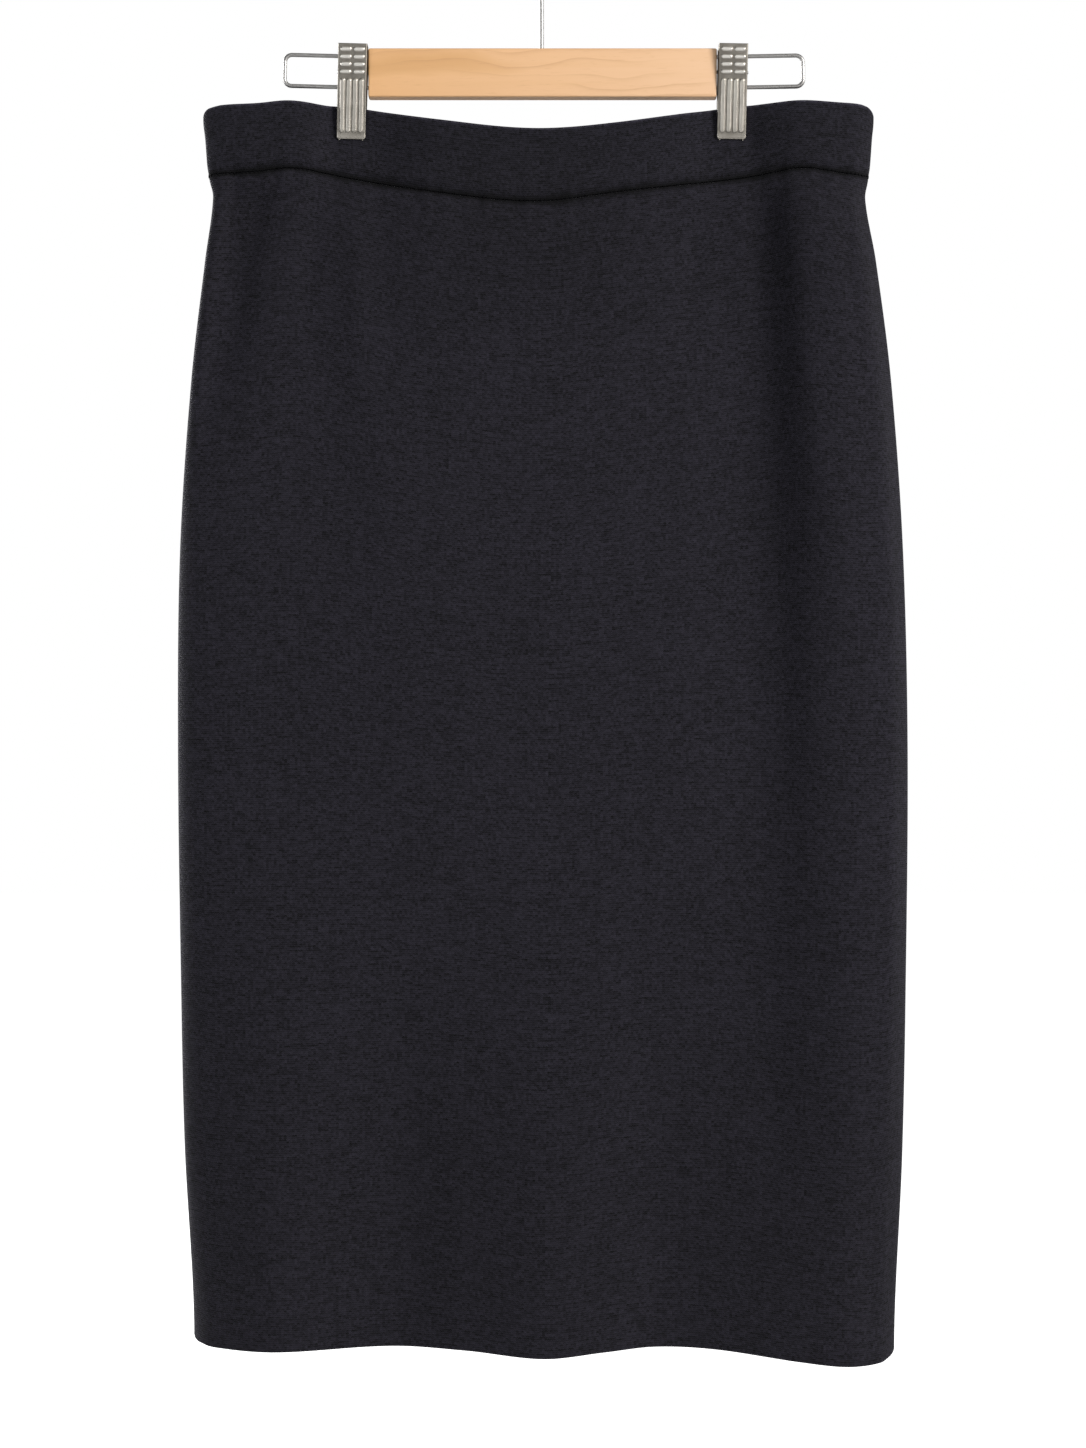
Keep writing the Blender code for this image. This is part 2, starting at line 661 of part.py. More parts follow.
def plate_mesh(name, way):
    """A pressed plate with its relief and its two side walls, in the clip's frame."""
    half = PLATE_WIDE / 2
    tall = (PLATE_TOP - PLATE_FOOT) / math.cos(PLATE_LEAN)
    low, top = PLATE_ROUND, PLATE_ROUND_TOP
    outline = arc((half - low, low), low, -90, 0)
    outline += arc((half - top, tall - top), top, 0, 90)
    outline += arc((top - half, tall - top), top, 90, 180)
    outline += arc((low - half, low), low, 180, 270)
    frame = plate_frame(way)
    sheet = flat_mesh(f"{name}_sheet", outline, PLATE_SHEET)
    sheet.transform(Matrix.Translation((0, 0, PLATE_SHEET / 2)))
    sheet.transform(frame)
    plate = add_helper(f"{name}_shape", sheet)
    relief = relief_mesh(f"{name}_relief")
    relief.transform(frame)
    add_boolean(plate, add_helper(f"{name}_relief", relief), "UNION")
    for end in (-1, 1):
        wall = side_wall(f"{name}_wall", way)
        inset = half - PLATE_SHEET / 2
        if way > 0:
            inset -= PLATE_SHEET + PART_GAP
        wall.transform(Matrix.Translation((end * inset, 0, 0)))
        add_boolean(plate, add_helper(f"{name}_wall_{end}", wall), "UNION")
    bores = [(0.0, PIN_WIRE / 2 + PART_GAP)]
    if way < 0:
        bores += [(z - PIN_Z, LOOP_WIRE / 2 + SLIDE_GAP) for z in (LOOP_HIGH_Z, LOOP_LOW_Z)]
    for z, radius in bores:
        drill = rod_mesh(f"{name}_bore", radius, 2 * PLATE_WIDE)
        bore = add_helper(f"{name}_bore_{z:.3f}", drill)
        bore.location = (0, 0, z)
        add_boolean(plate, bore, "DIFFERENCE")
    return finished_mesh(plate, name)


def side_wall(name, way):
    """The side wall of a plate, in the YZ plane: a long flange in front, an ear behind."""

    def sheet_y(z):
        """The middle of the plate's sheet at a height."""
        up = z - PLATE_FOOT
        return way * (JAW_Y + up * math.tan(PLATE_LEAN) + PLATE_SHEET / 2)

    if way < 0:
        top = PLATE_TOP - PLATE_ROUND_TOP
        outline = [
            (sheet_y(top), top),
            (sheet_y(FLANGE_ROOT), FLANGE_ROOT),
            (FLANGE_BACK - FLANGE_TRIM, FLANGE_LOW),
            (FLANGE_BACK, FLANGE_LOW + FLANGE_TRIM),
            (FLANGE_BACK, top - 2 * FLANGE_TRIM),
            (FLANGE_BACK - FLANGE_TRIM, top - FLANGE_TRIM / 2),
        ]
    else:
        outline = [(sheet_y(EAR_HIGH), EAR_HIGH)]
        outline += arc((0, 0), EAR_ROUND, 90, 270, steps=6)
        outline += [(sheet_y(-EAR_HIGH), -EAR_HIGH)]
    mesh = flat_mesh(name, outline, PLATE_SHEET)
    # The outline's x is the clip's Y, its y is the clip's Z and its thickness is along X.
    mesh.transform(Matrix(((0, 0, 1, 0), (1, 0, 0, 0), (0, 1, 0, 0), (0, 0, 0, 1))))
    return mesh


def spring_mesh(name):
    """The torsion spring's coil as a sleeve round the pin: a profile turned about X."""
    half = SPRING_LONG / 2
    cage = bmesh.new()
    corners = (
        (half, SPRING_INNER), (-half, SPRING_INNER), (-half, SPRING_OUTER), (half, SPRING_OUTER)
    )
    verts = [cage.verts.new((x, 0, z)) for x, z in corners]
    for i, vert in enumerate(verts):
        cage.edges.new((vert, verts[(i + 1) % len(verts)]))
    mesh = bpy.data.meshes.new(name)
    cage.to_mesh(mesh)
    cage.free()
    profile = add_helper(f"{name}_profile", mesh)
    turned = profile.modifiers.new("turned", "SCREW")
    turned.axis = "X"
    turned.steps = turned.render_steps = 12
    turned.use_merge_vertices = True
    turned.merge_threshold = 0.00005
    return finished_mesh(profile, name)


def make_clips():
    meshes = {
        "front": (plate_mesh("clip_plate_front", -1), "nickel_plate"),
        "back": (plate_mesh("clip_plate_back", 1), "nickel_plate"),
        "pin": (rod_mesh("clip_pin", PIN_WIRE / 2, PLATE_WIDE + 2 * PIN_PROUD), "spring_steel"),
        "spring": (spring_mesh("clip_spring"), "spring_steel"),
    }
    for side in ("left", "right"):
        holder = bpy.data.objects.new(f"clip_{side}", None)
        SKIRT.objects.link(holder)
        holder.location = (CLIP_X[side], 0, PIN_Z)
        holder.rotation_euler = (0, CLIP_TILT[side], 0)
        for part, (mesh, slot) in meshes.items():
            piece = add_piece(f"clip_{side}_{part}", mesh.copy(), slot)
            piece.parent = holder


make_cloth()
make_bar()
make_hook()
make_loop("left")
make_loop("right")
make_clips()
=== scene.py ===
# %% [markdown]
# # A knitted pencil skirt on a clip hanger
#
# The real object is two things. The skirt is a tube of fine black knit: a front and a back
# panel, and a deep double waistband made of a front and a back piece. The hanger is a pale
# wooden bar with a wire hook, a flat wire loop at each end, and two sprung metal clips that
# slide on the loops and pinch the waistband.
#
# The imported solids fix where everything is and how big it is. This lesson loads them first
# and then dresses them, piece by piece: cloth shells with soft folds, sewing, a varnished
# bar, pressed clip plates, wires and springs. Metres throughout, +Z up, -Y to the viewer.

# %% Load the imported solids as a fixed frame
import json
import math
from collections import namedtuple

import bmesh
import bpy
import numpy as np
from mathutils import Matrix, Vector

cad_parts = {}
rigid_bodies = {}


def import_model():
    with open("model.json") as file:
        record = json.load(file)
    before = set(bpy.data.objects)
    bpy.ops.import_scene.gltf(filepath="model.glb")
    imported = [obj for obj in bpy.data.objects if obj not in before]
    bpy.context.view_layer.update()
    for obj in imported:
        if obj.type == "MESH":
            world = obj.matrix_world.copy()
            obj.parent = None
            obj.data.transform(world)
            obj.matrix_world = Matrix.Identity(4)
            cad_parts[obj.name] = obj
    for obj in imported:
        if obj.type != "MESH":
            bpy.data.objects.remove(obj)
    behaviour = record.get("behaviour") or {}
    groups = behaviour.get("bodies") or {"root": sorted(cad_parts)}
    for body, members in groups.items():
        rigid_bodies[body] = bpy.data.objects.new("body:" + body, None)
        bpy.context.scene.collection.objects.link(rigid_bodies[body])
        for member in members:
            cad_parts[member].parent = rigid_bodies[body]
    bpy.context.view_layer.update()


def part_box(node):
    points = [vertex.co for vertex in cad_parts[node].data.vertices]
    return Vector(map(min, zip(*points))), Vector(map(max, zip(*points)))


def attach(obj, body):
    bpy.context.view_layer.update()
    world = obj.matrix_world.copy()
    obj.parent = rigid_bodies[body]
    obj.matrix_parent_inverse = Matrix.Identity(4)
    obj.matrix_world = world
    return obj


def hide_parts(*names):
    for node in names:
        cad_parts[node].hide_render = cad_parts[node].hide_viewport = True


for old in list(bpy.data.objects):
    bpy.data.objects.remove(old, do_unlink=True)
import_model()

# %% [markdown]
# ## The camera
#
# The picture is a straight front view. At the skirt one pixel of its 1086 by 1448 is 0.58
# mm, and the clips' flanges show the perspective of a camera about 2 m away. The middle of
# the picture is on the hanger's centre line, 0.4735 m below the rail. With the long side of
# the sensor along the picture's height, the lens follows from those sizes.

# %% Camera
PHOTO_HIGH = 1448  # the picture's height in pixels
PIXEL = 0.00058  # the size of one pixel at the skirt
VIEW_DISTANCE = 2.0
VIEW_HEIGHT = -0.4735
SENSOR = 36.0  # millimetres

camera_data = bpy.data.cameras.new("front_view")
camera_data.sensor_width = SENSOR
camera_data.lens = SENSOR * VIEW_DISTANCE / (PHOTO_HIGH * PIXEL)
camera = bpy.data.objects.new("front_view", camera_data)
camera.location = (0, -VIEW_DISTANCE, VIEW_HEIGHT)
camera.rotation_euler = (math.pi / 2, 0, 0)
bpy.context.scene.collection.objects.link(camera)
bpy.context.scene.camera = camera
print("lens:", round(camera_data.lens, 2), "mm")

# %% [markdown]
# ## Studio
#
# The photograph is a cut-out on white, so the studio looks white all round: a white world
# and a pale floor well below the hem, with no line between them. Both give the camera full
# white and the object much less, because black knit only shows its folds when most of the
# light comes from one side. The main lamp is a large softbox to the right, a little above:
# it grazes the cloth, so that each flank that faces left is dark. Weaker ones fill from
# the left and the front, two at the sides brighten the skirt's edges, one lights the back,
# and a faint one hangs overhead.

# %% World and floor
WORLD_SEEN = 1.0
WORLD_LIGHT = 0.05
FLOOR_Z = -1.25
FLOOR_RADIUS = 14.0
FLOOR_SEEN, FLOOR_LIGHT = 1.0, 0.11
FLOOR_GREY = 0.45
FLOOR_ROUGH = 0.9

scene = bpy.context.scene
scene.view_settings.view_transform = "Standard"
scene.view_settings.look = "None"


def put(tree, kind, inputs=None, **settings):
    """Adds a node, sets its properties, and fills its inputs with values or links."""
    made = tree.nodes.new(kind)
    for name, value in settings.items():
        setattr(made, name, value)
    for socket, value in (inputs or {}).items():
        if isinstance(value, bpy.types.NodeSocket):
            tree.links.new(value, made.inputs[socket])
        else:
            made.inputs[socket].default_value = value
    return made


world = bpy.data.worlds.new("white_studio")
world.use_nodes = True
world.node_tree.nodes.clear()
seen = put(world.node_tree, "ShaderNodeBackground", {"Strength": WORLD_SEEN})
seen.inputs["Color"].default_value = (1, 1, 1, 1)
light = put(world.node_tree, "ShaderNodeBackground", {"Strength": WORLD_LIGHT})
light.inputs["Color"].default_value = (0.96, 0.98, 1.0, 1)
path = put(world.node_tree, "ShaderNodeLightPath")
mixed = put(world.node_tree, "ShaderNodeMixShader", {
    0: path.outputs["Is Camera Ray"], 1: light.outputs[0], 2: seen.outputs[0],
})
put(world.node_tree, "ShaderNodeOutputWorld", {"Surface": mixed.outputs[0]})
scene.world = world

cage = bmesh.new()
bmesh.ops.create_circle(cage, cap_ends=True, segments=96, radius=FLOOR_RADIUS)
floor_mesh = bpy.data.meshes.new("floor")
cage.to_mesh(floor_mesh)
cage.free()
floor_mesh.transform(Matrix.Translation((0, 0, FLOOR_Z)))
floor = bpy.data.objects.new("floor", floor_mesh)
scene.collection.objects.link(floor)
pale = bpy.data.materials.new("pale_floor")
pale.use_nodes = True
paint = pale.node_tree.nodes["Principled BSDF"]
paint.inputs["Base Color"].default_value = (FLOOR_GREY, FLOOR_GREY, FLOOR_GREY, 1)
paint.inputs["Roughness"].default_value = FLOOR_ROUGH
paint.inputs["Emission Color"].default_value = (1, 1, 1, 1)
ray = put(pale.node_tree, "ShaderNodeLightPath").outputs["Is Camera Ray"]
glow = put(pale.node_tree, "ShaderNodeMapRange", {
    "Value": ray, "To Min": FLOOR_LIGHT, "To Max": FLOOR_SEEN,
})
pale.node_tree.links.new(glow.outputs[0], paint.inputs["Emission Strength"])
floor_mesh.materials.append(pale)

# %% Softboxes
Softbox = namedtuple("Softbox", "name place size_x size_y power colour")
SOFTBOXES = (
    Softbox("key_right", (3.50, -2.80, 1.20), 1.5, 1.8, 270.0, (1.0, 0.985, 0.96)),
    Softbox("fill_left", (-2.80, -2.90, 0.00), 1.6, 1.8, 39.0, (0.95, 0.98, 1.0)),
    Softbox("front", (0.00, -3.40, 0.40), 1.2, 1.2, 10.0, (1.0, 1.0, 1.0)),
    Softbox("side_right", (2.70, 1.10, 0.10), 1.0, 1.8, 18.0, (1.0, 1.0, 1.0)),
    Softbox("side_left", (-2.80, 0.60, 0.00), 1.0, 1.8, 55.0, (1.0, 1.0, 1.0)),
    Softbox("back", (-2.60, 3.00, 0.90), 1.5, 1.7, 150.0, (1.0, 1.0, 1.0)),
    Softbox("overhead", (0.10, -0.50, 1.40), 1.4, 1.0, 4.0, (1.0, 0.99, 0.97)),
)
AIM = Vector((0, 0, -0.45))

for box in SOFTBOXES:
    lamp = bpy.data.lights.new(box.name, "AREA")
    lamp.shape = "RECTANGLE"
    lamp.size, lamp.size_y = box.size_x, box.size_y
    lamp.energy = box.power
    lamp.color = box.colour
    holder = bpy.data.objects.new(box.name, lamp)
    holder.location = box.place
    holder.rotation_euler = (AIM - Vector(box.place)).to_track_quat("-Z", "Y").to_euler()
    scene.collection.objects.link(holder)
print("lamps:", [box.name for box in SOFTBOXES])

# %% [markdown]
# ## The cloth's measurements
#
# A drop is a distance below the waist edge, down the side folds. The tables below are the
# skirt's own, row for row as the solids use them: sections of the tube, the lines of the
# waist edge, the seam and the hem, the folds, and how flat the clips hold it. The creases
# have a table of their own, as they are too small for the solids' coarser grid.

# %% Sizes of the cloth
WAIST_Z = -0.1151  # the waist edge, below the rail
BAND_DEEP = 0.0394  # the waistband, from its top edge to the seam under it
SKIRT_LONG = 0.718  # the waist edge to the hem
BAND_WALL = 0.0025  # two layers of knit
PANEL_WALL = 0.0020
SEAM_GAP = 0.0003  # between neighbouring pieces
SIDE_FLAT = 0.0008
SWELL_START = 0.380  # the drop where the waves of the hem begin
DOME = 9.0  # a high power keeps the middle of a panel flat
FOLD_FREE = 0.012  # the folds die out over this distance from a side fold
LINE_FADE = 0.25
FLAT_HALF = 0.0092  # the cloth is flat this far each way from a clip's middle
WAIST_ROUND, HEM_ROUND = 0.0045, 0.0032  # the corners of the skirt, seen from the front
CORNER_FADE = 0.018
PINCH_X = (-0.1108, 0.1093)

Section = namedtuple("Section", "drop left right front back fold")
SECTIONS = (
    Section(0.000, -0.1970, 0.1917, 0.0122, 0.0104, 0.0048),
    Section(0.019, -0.1957, 0.1906, 0.0127, 0.0118, 0.0050),
    Section(0.0394, -0.1940, 0.1890, 0.0132, 0.0135, 0.0052),
    Section(0.052, -0.1913, 0.1868, 0.0140, 0.0145, 0.0054),
    Section(0.089, -0.1960, 0.1931, 0.0160, 0.0170, 0.0066),
    Section(0.158, -0.2039, 0.2018, 0.0182, 0.0198, 0.0082),
    Section(0.257, -0.2104, 0.2087, 0.0198, 0.0220, 0.0098),
    Section(0.373, -0.2116, 0.2114, 0.0205, 0.0230, 0.0106),
    Section(0.518, -0.2097, 0.2101, 0.0203, 0.0230, 0.0108),
    Section(0.605, -0.2077, 0.2082, 0.0203, 0.0225, 0.0104),
    Section(0.718, -0.2022, 0.2036, 0.0208, 0.0220, 0.0096),
)

# %% Lines of the waist edge, the seam and the hem
BandLine = namedtuple("BandLine", "x waist seam")
BAND_LINES = {
    "front": (
        BandLine(-0.197, -0.0029, -0.0016),
        BandLine(-0.186, -0.0011, -0.0006),
        BandLine(-0.165, -0.0003, 0.0005),
        BandLine(-0.147, 0.0013, 0.0023),
        BandLine(-0.128, -0.0004, 0.0002),
        BandLine(-0.110, -0.0013, -0.0032),
        BandLine(-0.060, -0.0096, -0.0120),
        BandLine(-0.005, -0.0147, -0.0172),
        BandLine(0.045, -0.0109, -0.0114),
        BandLine(0.110, -0.0011, -0.0034),
        BandLine(0.130, 0.0003, -0.0006),
        BandLine(0.149, 0.0013, 0.0017),
        BandLine(0.170, 0.0001, -0.0009),
        BandLine(0.184, -0.0008, -0.0022),
        BandLine(0.192, -0.0029, -0.0018),
    ),
    "back": (
        BandLine(-0.197, -0.0029, -0.0016),
        BandLine(-0.184, -0.0012, -0.0010),
        BandLine(-0.151, 0.0010, 0.0014),
        BandLine(-0.110, -0.0013, -0.0030),
        BandLine(-0.048, -0.0112, -0.0126),
        BandLine(0.008, -0.0140, -0.0158),
        BandLine(0.062, -0.0082, -0.0098),
        BandLine(0.110, -0.0011, -0.0032),
        BandLine(0.146, 0.0011, 0.0012),
        BandLine(0.180, -0.0010, -0.0014),
        BandLine(0.192, -0.0029, -0.0018),
    ),
}
HemLine = namedtuple("HemLine", "x lift swell")
HEM_LINES = {
    "front": (
        HemLine(-0.2030, 0.0036, 0.0000),
        HemLine(-0.190, 0.0014, 0.0020),
        HemLine(-0.152, -0.0001, 0.0062),
        HemLine(-0.086, 0.0015, -0.0062),
        HemLine(-0.045, -0.0001, 0.0005),
        HemLine(0.000, -0.0039, 0.0074),
        HemLine(0.035, -0.0012, 0.0012),
        HemLine(0.065, 0.0008, -0.0062),
        HemLine(0.100, -0.0004, -0.0036),
        HemLine(0.150, -0.0066, 0.0050),
        HemLine(0.175, -0.0088, 0.0078),
        HemLine(0.195, -0.0078, 0.0030),
        HemLine(0.2040, -0.0045, 0.0000),
    ),
    "back": (
        HemLine(-0.2030, 0.0036, 0.0000),
        HemLine(-0.186, 0.0020, 0.0026),
        HemLine(-0.128, -0.0006, 0.0070),
        HemLine(-0.062, 0.0020, -0.0060),
        HemLine(0.004, -0.0002, 0.0058),
        HemLine(0.070, -0.0008, -0.0052),
        HemLine(0.138, -0.0062, 0.0068),
        HemLine(0.190, -0.0066, 0.0024),
        HemLine(0.2040, -0.0045, 0.0000),
    ),
}

# %% Folds, troughs and the clips' hold
# Each side of a fold has its own width. A negative rise is a trough.
Fold = namedtuple("Fold", "x_high x_low start full ease end left right rise")
FOLDS = {
    "front": (
        Fold(0.168, 0.201, -0.060, 0.060, 0.520, 0.700, 0.0310, 0.0500, 0.0055),
        Fold(0.139, 0.178, 0.030, 0.080, 0.200, 0.366, 0.0150, 0.0500, 0.0042),
        Fold(0.123, 0.143, 0.030, 0.080, 0.310, 0.538, 0.0500, 0.0145, -0.0042),
        Fold(0.111, 0.130, 0.024, 0.070, 0.490, 0.718, 0.0500, 0.0210, -0.0055),
        Fold(-0.165, -0.196, 0.030, 0.060, 0.127, 0.250, 0.0210, 0.0165, -0.0055),
        Fold(-0.151, -0.101, 0.024, 0.060, 0.129, 0.400, 0.0500, 0.0234, -0.0041),
        Fold(-0.034, -0.070, 0.060, 0.160, 0.310, 0.516, 0.0300, 0.0300, 0.0014),
        Fold(0.063, 0.034, 0.080, 0.200, 0.365, 0.680, 0.0480, 0.0480, -0.0024),
    ),
    "back": (
        Fold(0.150, 0.156, -0.060, 0.050, 0.200, 0.420, 0.0160, 0.0160, 0.0034),
        Fold(-0.149, -0.158, -0.060, 0.060, 0.220, 0.460, 0.0140, 0.0140, 0.0042),
        Fold(-0.126, -0.138, 0.024, 0.070, 0.200, 0.480, 0.0130, 0.0130, -0.0042),
        Fold(0.118, 0.113, 0.024, 0.060, 0.130, 0.280, 0.0120, 0.0120, -0.0034),
        Fold(0.022, 0.052, 0.060, 0.180, 0.320, 0.520, 0.0440, 0.0440, 0.0024),
    ),
}
# Creases on this finer cloth only: drag lines that fan out under the clips, short ones that
# the waist seam draws in, and at the end of the front's list slight ones that shape the
# large folds.
CREASES = {
    "front": (
        Fold(-0.124, -0.140, 0.030, 0.052, 0.080, 0.150, 0.0048, 0.0048, -0.0011),
        Fold(-0.098, -0.084, 0.030, 0.056, 0.085, 0.165, 0.0056, 0.0056, -0.0006),
        Fold(-0.111, -0.104, 0.040, 0.060, 0.100, 0.190, 0.0060, 0.0060, 0.0011),
        Fold(0.096, 0.080, 0.030, 0.054, 0.084, 0.160, 0.0056, 0.0056, -0.0010),
        Fold(0.112, 0.118, 0.036, 0.060, 0.100, 0.190, 0.0052, 0.0052, 0.0008),
        Fold(-0.176, -0.181, 0.020, 0.045, 0.070, 0.130, 0.0050, 0.0050, -0.0008),
        Fold(0.172, 0.178, 0.020, 0.046, 0.076, 0.150, 0.0050, 0.0050, -0.0009),
        Fold(-0.040, -0.052, 0.034, 0.046, 0.060, 0.100, 0.0070, 0.0070, -0.0005),
        Fold(0.026, 0.034, 0.034, 0.046, 0.058, 0.096, 0.0064, 0.0064, -0.0005),
        Fold(0.131, 0.133, -0.050, 0.000, 0.022, 0.060, 0.0110, 0.0120, -0.0036),
        Fold(0.088, 0.090, -0.050, 0.000, 0.036, 0.080, 0.0100, 0.0090, 0.0036),
        Fold(0.172, 0.196, 0.030, 0.060, 0.420, 0.640, 0.0450, 0.0300, 0.0020),
        Fold(0.141, 0.160, 0.036, 0.066, 0.280, 0.480, 0.0100, 0.0140, 0.0007),
        Fold(-0.151, -0.205, 0.030, 0.060, 0.130, 0.240, 0.0070, 0.0070, -0.0009),
        Fold(-0.196, -0.190, 0.200, 0.400, 0.750, 0.800, 0.0300, 0.0380, 0.0016),
    ),
    "back": (
        Fold(-0.122, -0.136, 0.030, 0.052, 0.082, 0.160, 0.0050, 0.0050, -0.0011),
        Fold(-0.097, -0.082, 0.030, 0.056, 0.085, 0.150, 0.0056, 0.0056, -0.0009),
        Fold(0.098, 0.086, 0.030, 0.054, 0.088, 0.170, 0.0054, 0.0054, -0.0010),
        Fold(0.124, 0.138, 0.030, 0.052, 0.080, 0.150, 0.0048, 0.0048, -0.0011),
        Fold(-0.174, -0.180, 0.020, 0.045, 0.074, 0.140, 0.0050, 0.0050, -0.0008),
        Fold(0.170, 0.176, 0.020, 0.046, 0.072, 0.130, 0.0050, 0.0050, -0.0008),
        Fold(0.014, 0.022, 0.034, 0.046, 0.058, 0.098, 0.0068, 0.0068, -0.0005),
    ),
}
# A clip draws the cloth flat a little way beside it, further towards the skirt's middle.
Pinch = namedtuple("Pinch", "drop hold outer inner")
PINCHES = (
    Pinch(0.000, 1.00, 0.0110, 0.0270),
    Pinch(0.022, 1.00, 0.0110, 0.0270),
    Pinch(0.040, 0.74, 0.0140, 0.0280),
    Pinch(0.070, 0.40, 0.0200, 0.0290),
    Pinch(0.120, 0.14, 0.0280, 0.0310),
    Pinch(0.200, 0.00, 0.0340, 0.0340),
    Pinch(0.718, 0.00, 0.0340, 0.0340),
)
print("folds:", {side: len(FOLDS[side]) + len(CREASES[side]) for side in FOLDS})

# %% [markdown]
# ## The cloth's surface
#
# A surface worked out from tables could be sculpted by hand or simulated instead. A formula
# is better here: the shells must lie exactly on the solids, and each fold can be moved by
# one number. All the points of a shell are worked out at once, as arrays.

# %% Smooth curves through the tables


def through(rows, by, name, at):
    """A smooth curve through one column of a table, at values of another column."""
    places = np.array([getattr(row, by) for row in rows])
    values = np.array([getattr(row, name) for row in rows])
    slopes = np.zeros(len(rows))
    slopes[1:-1] = (values[2:] - values[:-2]) / (places[2:] - places[:-2])
    at = np.clip(at, places[0], places[-1])
    here = np.clip(np.searchsorted(places, at) - 1, 0, len(rows) - 2)
    step = places[here + 1] - places[here]
    t = (at - places[here]) / step
    return (
        values[here] * (2 * t**3 - 3 * t**2 + 1)
        + values[here + 1] * (3 * t**2 - 2 * t**3)
        + step * slopes[here] * (t**3 - 2 * t**2 + t)
        + step * slopes[here + 1] * (t**3 - t**2)
    )


def eased(value, low, high):
    """0 below low, 1 above high, and a soft S between them."""
    t = np.clip((value - low) / (high - low), 0.0, 1.0)
    return t * t * (3 - 2 * t)


def bell(distance, width):
    """1 at no distance, falling softly, and nearly 0 at twice the width."""
    return np.exp(-((distance / width) ** 2))


# %% Folds, pinches and heights


def folds_at(side, x, drop):
    """How far the folds and creases push the cloth out at each place."""
    total = np.zeros_like(x)
    for fold in FOLDS[side] + CREASES[side]:
        middle = fold.x_high + (fold.x_low - fold.x_high) * np.clip(drop / fold.end, 0, 1)
        strength = eased(drop, fold.start, fold.full) - eased(drop, fold.ease, fold.end)
        width = np.where(x < middle, fold.left, fold.right)
        total += fold.rise * strength * bell(x - middle, width)
    swell = through(HEM_LINES[side], "x", "swell", x)
    return total + swell * eased(drop, SWELL_START, SKIRT_LONG)


def pinch_at(x, drop):
    """How flat the clips hold the cloth at each place, from 0 to 1."""
    outer = through(PINCHES, "drop", "outer", drop)
    inner = through(PINCHES, "drop", "inner", drop)
    nearest = 0.0
    for jaw in PINCH_X:
        reach = np.where((x - jaw) * jaw < 0, inner, outer)
        beside = np.maximum(abs(x - jaw) - FLAT_HALF, 0)
        nearest = np.maximum(nearest, bell(beside, reach))
    return through(PINCHES, "drop", "hold", drop) * nearest


def height_at(side, x, drop):
    """The height of each place: the rows follow the waist edge, the seam and the hem."""
    waist = through(BAND_LINES[side], "x", "waist", x)
    seam = through(BAND_LINES[side], "x", "seam", x)
    hem = through(HEM_LINES[side], "x", "lift", x)
    below = (drop - BAND_DEEP) / (SKIRT_LONG - BAND_DEEP)
    in_band = waist + (seam - waist) * drop / BAND_DEEP
    in_panel = seam * (1 - eased(below, 0.0, 1 - LINE_FADE))
    in_panel = in_panel + hem * eased(below, LINE_FADE, 1.0)
    return WAIST_Z - drop + np.where(drop <= BAND_DEEP, in_band, in_panel)


# %% [markdown]
# Two things are added to the solids' surface. Along the waist seam the knit is drawn in by
# its stitches, which makes the dark groove that the photograph shows, with small uneven
# puckers beside it. And cloth that has been worn and hung is never quite even, so a sum of
# long, shallow waves moves it by a fraction of a millimetre.

# %% Groove, puckers and unevenness
GROOVE_DEEP, GROOVE_WIDE = 0.0024, 0.0036
GROOVE_AT_SIDE, GROOVE_FREE = 0.12, 0.014  # it is shallow at the side folds
PUCKER_RISE, PUCKER_REACH = 0.00045, 0.0085
UNEVEN_RISE = 0.00028
WAVES = 9
SHORTEST_WAVE, LONGEST_WAVE = 0.030, 0.160
LAST_PHASE = 9
WAVE_LEAN = 0.6  # below 1, the waves are longer down the skirt than across it

chance = np.random.default_rng(1907)
Wave = namedtuple("Wave", "along_x along_drop phase share")
UNEVEN = []
for _ in range(WAVES):
    turn = chance.uniform(0, math.pi)
    length = chance.uniform(SHORTEST_WAVE, LONGEST_WAVE)
    number = 2 * math.pi / length
    share = length / LONGEST_WAVE
    UNEVEN.append(Wave(
        number * math.cos(turn), number * math.sin(turn) * WAVE_LEAN,
        chance.uniform(0, LAST_PHASE), share,
    ))
PUCKER_LENGTHS = (0.0117, 0.0083, 0.0196)
PUCKER_BELOW = 0.003  # the puckers are strongest this far under the seam
PUCKER_SHIFT = 2.1  # the phase between one length of pucker and the next
RELIEF_SHIFT = {"front": 0.0, "back": 2.7}  # so that the two sides differ
print("waves:", len(UNEVEN))


def groove_at(inset, drop):
    """How far the stitches of the waist seam draw the cloth in."""
    share = GROOVE_AT_SIDE + (1 - GROOVE_AT_SIDE) * eased(inset, 0.0, GROOVE_FREE)
    return GROOVE_DEEP * share * bell(drop - BAND_DEEP, GROOVE_WIDE)


def corner_lift(inset, drop):
    """How far the rounded corners lower the waist edge, and raise the hem, at the sides."""
    total = 0.0
    for round_, share in (
        (WAIST_ROUND, eased(drop, 0.0, CORNER_FADE) - 1),
        (HEM_ROUND, eased(drop, SKIRT_LONG - CORNER_FADE, SKIRT_LONG)),
    ):
        near = np.clip(round_ - inset, 0, round_)
        total = total + share * (round_ - np.sqrt(round_**2 - near**2))
    return total


def small_relief(x, drop, shift):
    """The unevenness of hanging cloth, and the puckers beside the waist seam."""
    total = np.zeros_like(x)
    for wave in UNEVEN:
        along = wave.along_x * x + wave.along_drop * drop + wave.phase + shift
        total += UNEVEN_RISE * wave.share * np.sin(along)
    for i, length in enumerate(PUCKER_LENGTHS):
        ripple = np.sin(2 * math.pi * x / length + shift + PUCKER_SHIFT * i)
        near = bell(drop - BAND_DEEP - PUCKER_BELOW, PUCKER_REACH)
        total += PUCKER_RISE * ripple * near / (i + 1)
    return total


